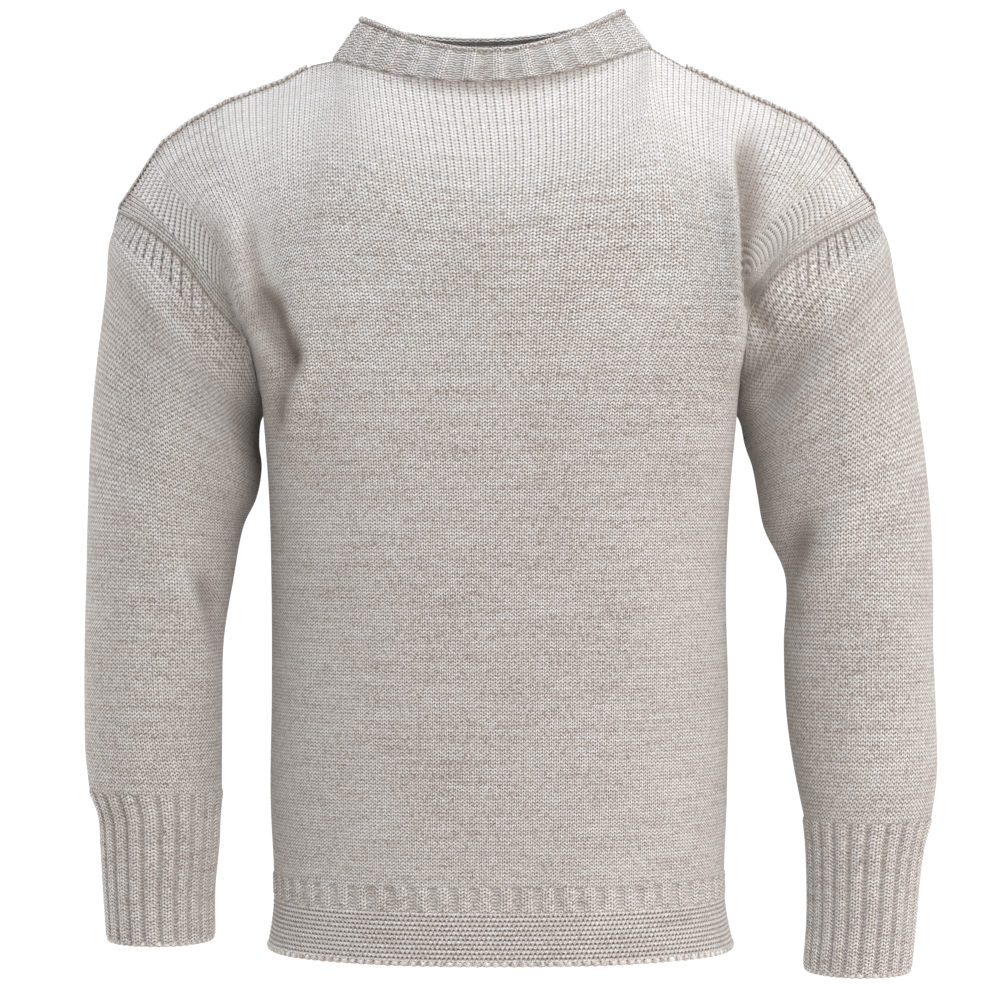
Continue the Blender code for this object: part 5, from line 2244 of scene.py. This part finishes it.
        # The marl is quieter and paler where columns stand out a little, and in the ladders; in the upper yoke this
        # paleness is painted top light.
        calm = ridged.ease(0.2, 0.9) * (1 - ridged.ease(1.0, 1.5)).most(graph.attribute("ladder"))
        tone = (tone - 0.5) * (1 - calm * 0.4) + calm * 0.08 + 0.5
        colour = graph.blend(tone.ease(0.0, 0.5), self.dark, self.base)
        colour = graph.blend(tone.ease(0.42, 1.0), colour, self.light)
        colour = graph.blend(specks.ease(0.72, 0.95) * 0.3, colour, self.cool)
        # Painted shade in the gaps between stitches, loops and knots.
        colour = graph.blend(gap.math("MINIMUM", 1.0), colour, self.gap)
        # The seam brown, at seams and as painted shade in troughs, furrows and under edges.
        colour = graph.blend(graph.attribute("tint") * 0.8, colour, self.seam)
        bump = graph.node("ShaderNodeBump", {}, {
            "Strength": 1.0, "Distance": self.stitch_depth,
            "Height": height + unevenness["fibres"] * self.fibre_height})
        graph.surface({
            "Base Color": colour, "Roughness": self.roughness, "Normal": bump.outputs[0],
            "Sheen Weight": self.sheen, "Sheen Roughness": self.sheen_roughness,
            "Sheen Tint": self.sheen_tint, "Specular IOR Level": self.specular})
        return material


# -------- studio
class Lamp(NamedTuple):
    """A soft square lamp: its place and size in metres, its power in watts and its colour."""
    name: str
    place: tuple
    size: float
    power: float
    colour: tuple = (1.0, 1.0, 1.0)


SKY = (0.81, 0.905, 1.0)
EMBER = (1.0, 0.925, 0.84)
LAMPS = table(
    Lamp,
    ("key", (0.35, -1.7, 2.1), 1.0, 45.0, SKY),
    ("top", (-0.2, -0.4, 2.2), 1.4, 22.0, SKY),
    ("fill", (1.3, -2.6, -0.7), 2.0, 27.0, EMBER),
    ("side", (2.4, -0.7, -0.3), 1.6, 20.0),
    ("left_side", (-2.4, 0.2, -0.6), 1.6, 8.0),
    ("rear", (0.6, 2.4, 1.2), 1.8, 24.0),
    ("rear_left", (-1.7, 1.2, -0.5), 1.4, 28.0),
    ("rear_right", (1.7, 1.5, -0.5), 1.4, 12.0),
)


@dataclass
class Studio:
    """A white floor, soft lights and the camera. Lengths are in metres.

    Attributes:
        sensor, lens: the camera's, in millimetres.
        aim: what the lamps look at.
        ambient: the strength of the light from all round.
        beyond: the brightness of what shows past the floor.
    """

    floor_z: float = -1.5
    floor_radius: float = 1.6
    floor_colour: tuple = (0.86, 0.86, 0.86, 1.0)
    eye: tuple = (0.0, -2.4, -0.3315)
    sensor: float = 36.0
    lens: float = 110.77
    clip_end: float = 60.0
    aim: tuple = (0.0, 0.0, -0.3)
    ambient: float = 0.465
    ambient_colour: tuple = (1.0, 0.975, 0.95, 1.0)
    beyond: float = 1.05

    def floor(self) -> None:
        """Lay a plain pale floor under and around the garment."""
        bpy.ops.object.select_all(action="DESELECT")
        bpy.ops.mesh.primitive_circle_add(vertices=96, radius=self.floor_radius, fill_type="NGON",
                                          location=(0.0, 0.0, self.floor_z))
        floor = bpy.context.object
        floor.name = "studio_floor"
        material = bpy.data.materials.new("studio_white")
        Graph(material).surface({"Base Color": self.floor_colour, "Roughness": 0.9})
        floor.data.materials.append(material)
        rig.stage(floor)

    def lights(self) -> None:
        """Hang a key and a top lamp before and above, fills at the sides, and three behind."""
        for row in LAMPS:
            lamp = bpy.data.lights.new(row.name, "AREA")
            lamp.shape = "SQUARE"
            lamp.size = row.size
            lamp.energy = row.power
            lamp.color = row.colour
            thing = linked(row.name, lamp)
            thing.location = row.place
            aim = Vector(self.aim) - Vector(row.place)
            thing.rotation_euler = aim.to_track_quat("-Z", "Y").to_euler()

    def surround(self) -> None:
        """Put white beyond the floor, and an even soft light all round."""
        world = bpy.data.worlds.new("studio")
        bpy.context.scene.world = world
        graph = Graph(world)
        path = graph.node("ShaderNodeLightPath", {}, {})
        shades = ((self.ambient_colour, self.ambient), ((1.0, 1.0, 1.0, 1.0), self.beyond))
        soft, white = (graph.node("ShaderNodeBackground", {}, {"Color": colour, "Strength": strength})
                       for colour, strength in shades)
        mix = graph.node("ShaderNodeMixShader", {}, {
            0: path.outputs["Is Camera Ray"], 1: soft.outputs[0], 2: white.outputs[0]})
        graph.node("ShaderNodeOutputWorld", {}, {"Surface": mix.outputs[0]})

    def camera(self) -> None:
        """Stand a level camera in front, with a long lens."""
        data = bpy.data.cameras.new("camera")
        data.sensor_width = self.sensor
        data.lens = self.lens
        data.clip_end = self.clip_end
        thing = linked("camera", data)
        thing.location = self.eye
        thing.rotation_euler = (math.pi / 2, 0.0, 0.0)
        bpy.context.scene.camera = thing

    def set_up(self) -> None:
        """Make the whole set."""
        self.camera()
        self.floor()
        self.lights()
        self.surround()
        bpy.context.scene.view_settings.view_transform = "Standard"


# -------- the garment
@dataclass(frozen=True)
class Cut:
    """A piece's cut, laid flat, and how the piece hangs in the garment.

    Attributes:
        width, length: in metres, opened out where it is a tube.
        area: of the shape within them, in square metres.
        held: how the other pieces hold it.
        rests_on: the nodes that hold it, with {face}, {other} and {side} to fill in.
    """

    width: float
    length: float
    area: float
    held: str = "hung"
    rests_on: tuple = ("front_body", "back_body")


CUTS = {
    "body": Cut(0.53, 0.62, 0.30, rests_on=("{other}_body",)),
    "rib_band": Cut(0.52, 0.018, 0.0093, rests_on=("{face}_body",)),
    "welt": Cut(0.53, 0.038, 0.020, rests_on=("{face}_rib_band",)),
    "sleeve": Cut(0.50, 0.34, 0.135),
    "cuff": Cut(0.26, 0.12, 0.030, "stretched", ("sleeve_{side}",)),
    "collar": Cut(0.62, 0.040, 0.024, "stretched"),
    "neck_gusset": Cut(0.036, 0.030, 0.00049, "stretched"),
}
OTHER_FACE = {"front": "back", "back": "front"}


@dataclass
class Piece:
    """A piece of the garment: its wall, its stitch, its cut and the trims worked on it."""

    knitting: Knitting
    stitch: Stitch
    cut: Cut
    rests_on: list
    trims: list = field(default_factory=list)

    def dress(self, materials: dict) -> None:
        """Give the piece and its trims their wool, the solid that it replaces and its cut.

        Args:
            materials: the wool for each way of knitting.
        """
        thing = self.knitting.thing
        thing.data.materials.append(materials[self.stitch])
        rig.ride(thing, "root")
        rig.replaces(thing, self.knitting.node)
        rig.slot(thing, "wool")
        for trim in self.trims:
            trim.data.materials.append(materials[Stitch.CORD])
            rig.ride(trim, "root")
            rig.slot(trim, "wool")
        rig.sheet(thing, flat=(self.cut.width, self.cut.length), area=self.cut.area,
                 held=self.cut.held, rests_on=self.rests_on, with_pieces=self.trims)
        LOG.info("%s: %d faces", thing.name, len(thing.data.polygons))


@dataclass
class Guernsey:
    """The whole sweater."""

    wool: Wool = field(default_factory=Wool)
    panels: dict = field(default_factory=dict)
    pieces: dict = field(default_factory=dict)

    def add(self, kind: str, knitting: Knitting, stitch: Stitch, trims: Sequence = (),
            **names: str) -> None:
        """Add a piece.

        Args:
            kind: the name of its cut.
            knitting: its wall.
            stitch: how it is knitted.
            trims: the objects worked on its edges.
            names: what fills in the names of the pieces that hold it.
        """
        cut = CUTS[kind]
        rests_on = ["knit_" + node.format(**names) for node in cut.rests_on]
        self.pieces[knitting.node] = Piece(knitting, stitch, cut, rests_on, list(trims))

    def cast_panels(self) -> None:
        """The body, its rib bands and its welts."""
        for face, other in OTHER_FACE.items():
            form = PanelForm(face)
            body = BodyPanel(form)
            welt = Welt(form)
            self.panels[face] = body
            self.add("body", body.knit(), Stitch.PLAIN, other=other)
            self.add("rib_band", RibBand(form).knit(), Stitch.RIB, face=face)
            self.add("welt", welt.knit(), Stitch.WELT, [welt.cast_on()], face=face)

    def cast_sleeves(self) -> None:
        """The sleeves and cuffs."""
        forms = {face: panel.form for face, panel in self.panels.items()}
        for side, name in SIDE_NAMES.items():
            sleeve = Sleeve(SleeveForm(side, forms), self.panels["front"].yoke_levels)
            cuff = Cuff(sleeve.form, sleeve.centre())
            self.add("sleeve", sleeve.knit(), Stitch.HEAD)
            self.add("cuff", cuff.knit(), Stitch.RIB, [cuff.cast_on()], side=name)

    def cast_neck(self) -> None:
        """The collar, the gussets and the shoulder seams, which are worked on the front."""
        self.add("collar", Collar().knit(), Stitch.RIB)
        for side in SIDE_NAMES:
            self.add("neck_gusset", NeckGusset(side).knit(), Stitch.PLAIN)
            self.pieces["front_body"].trims.append(ShoulderSeam(side).make())

    def build(self) -> None:
        """Knit, fold and dress the sweater."""
        self.cast_panels()
        self.cast_sleeves()
        self.cast_neck()
        walls = [piece.knitting for piece in self.pieces.values()]
        KnittingShop(FoldMap(CREASES + WRINKLES), walls).make()
        materials = {stitch: self.wool.make(f"wool_{stitch.value}", stitch) for stitch in Stitch}
        for piece in self.pieces.values():
            piece.dress(materials)


def corners(box: Sequence) -> list:
    """A box's corners as plain lists."""
    return [[float(value) for value in corner] for corner in box]


def main() -> None:
    """Build the set and the sweater, and note how large they are."""
    logging.basicConfig(level=logging.INFO, format="%(name)s: %(message)s")
    Studio().set_up()
    Guernsey().build()
    with open("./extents.json", "w", encoding="utf-8") as note:
        json.dump({"cad": corners(CAD_BOX), "visual": corners(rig.bounds())}, note)


if __name__ == "__main__":
    main()
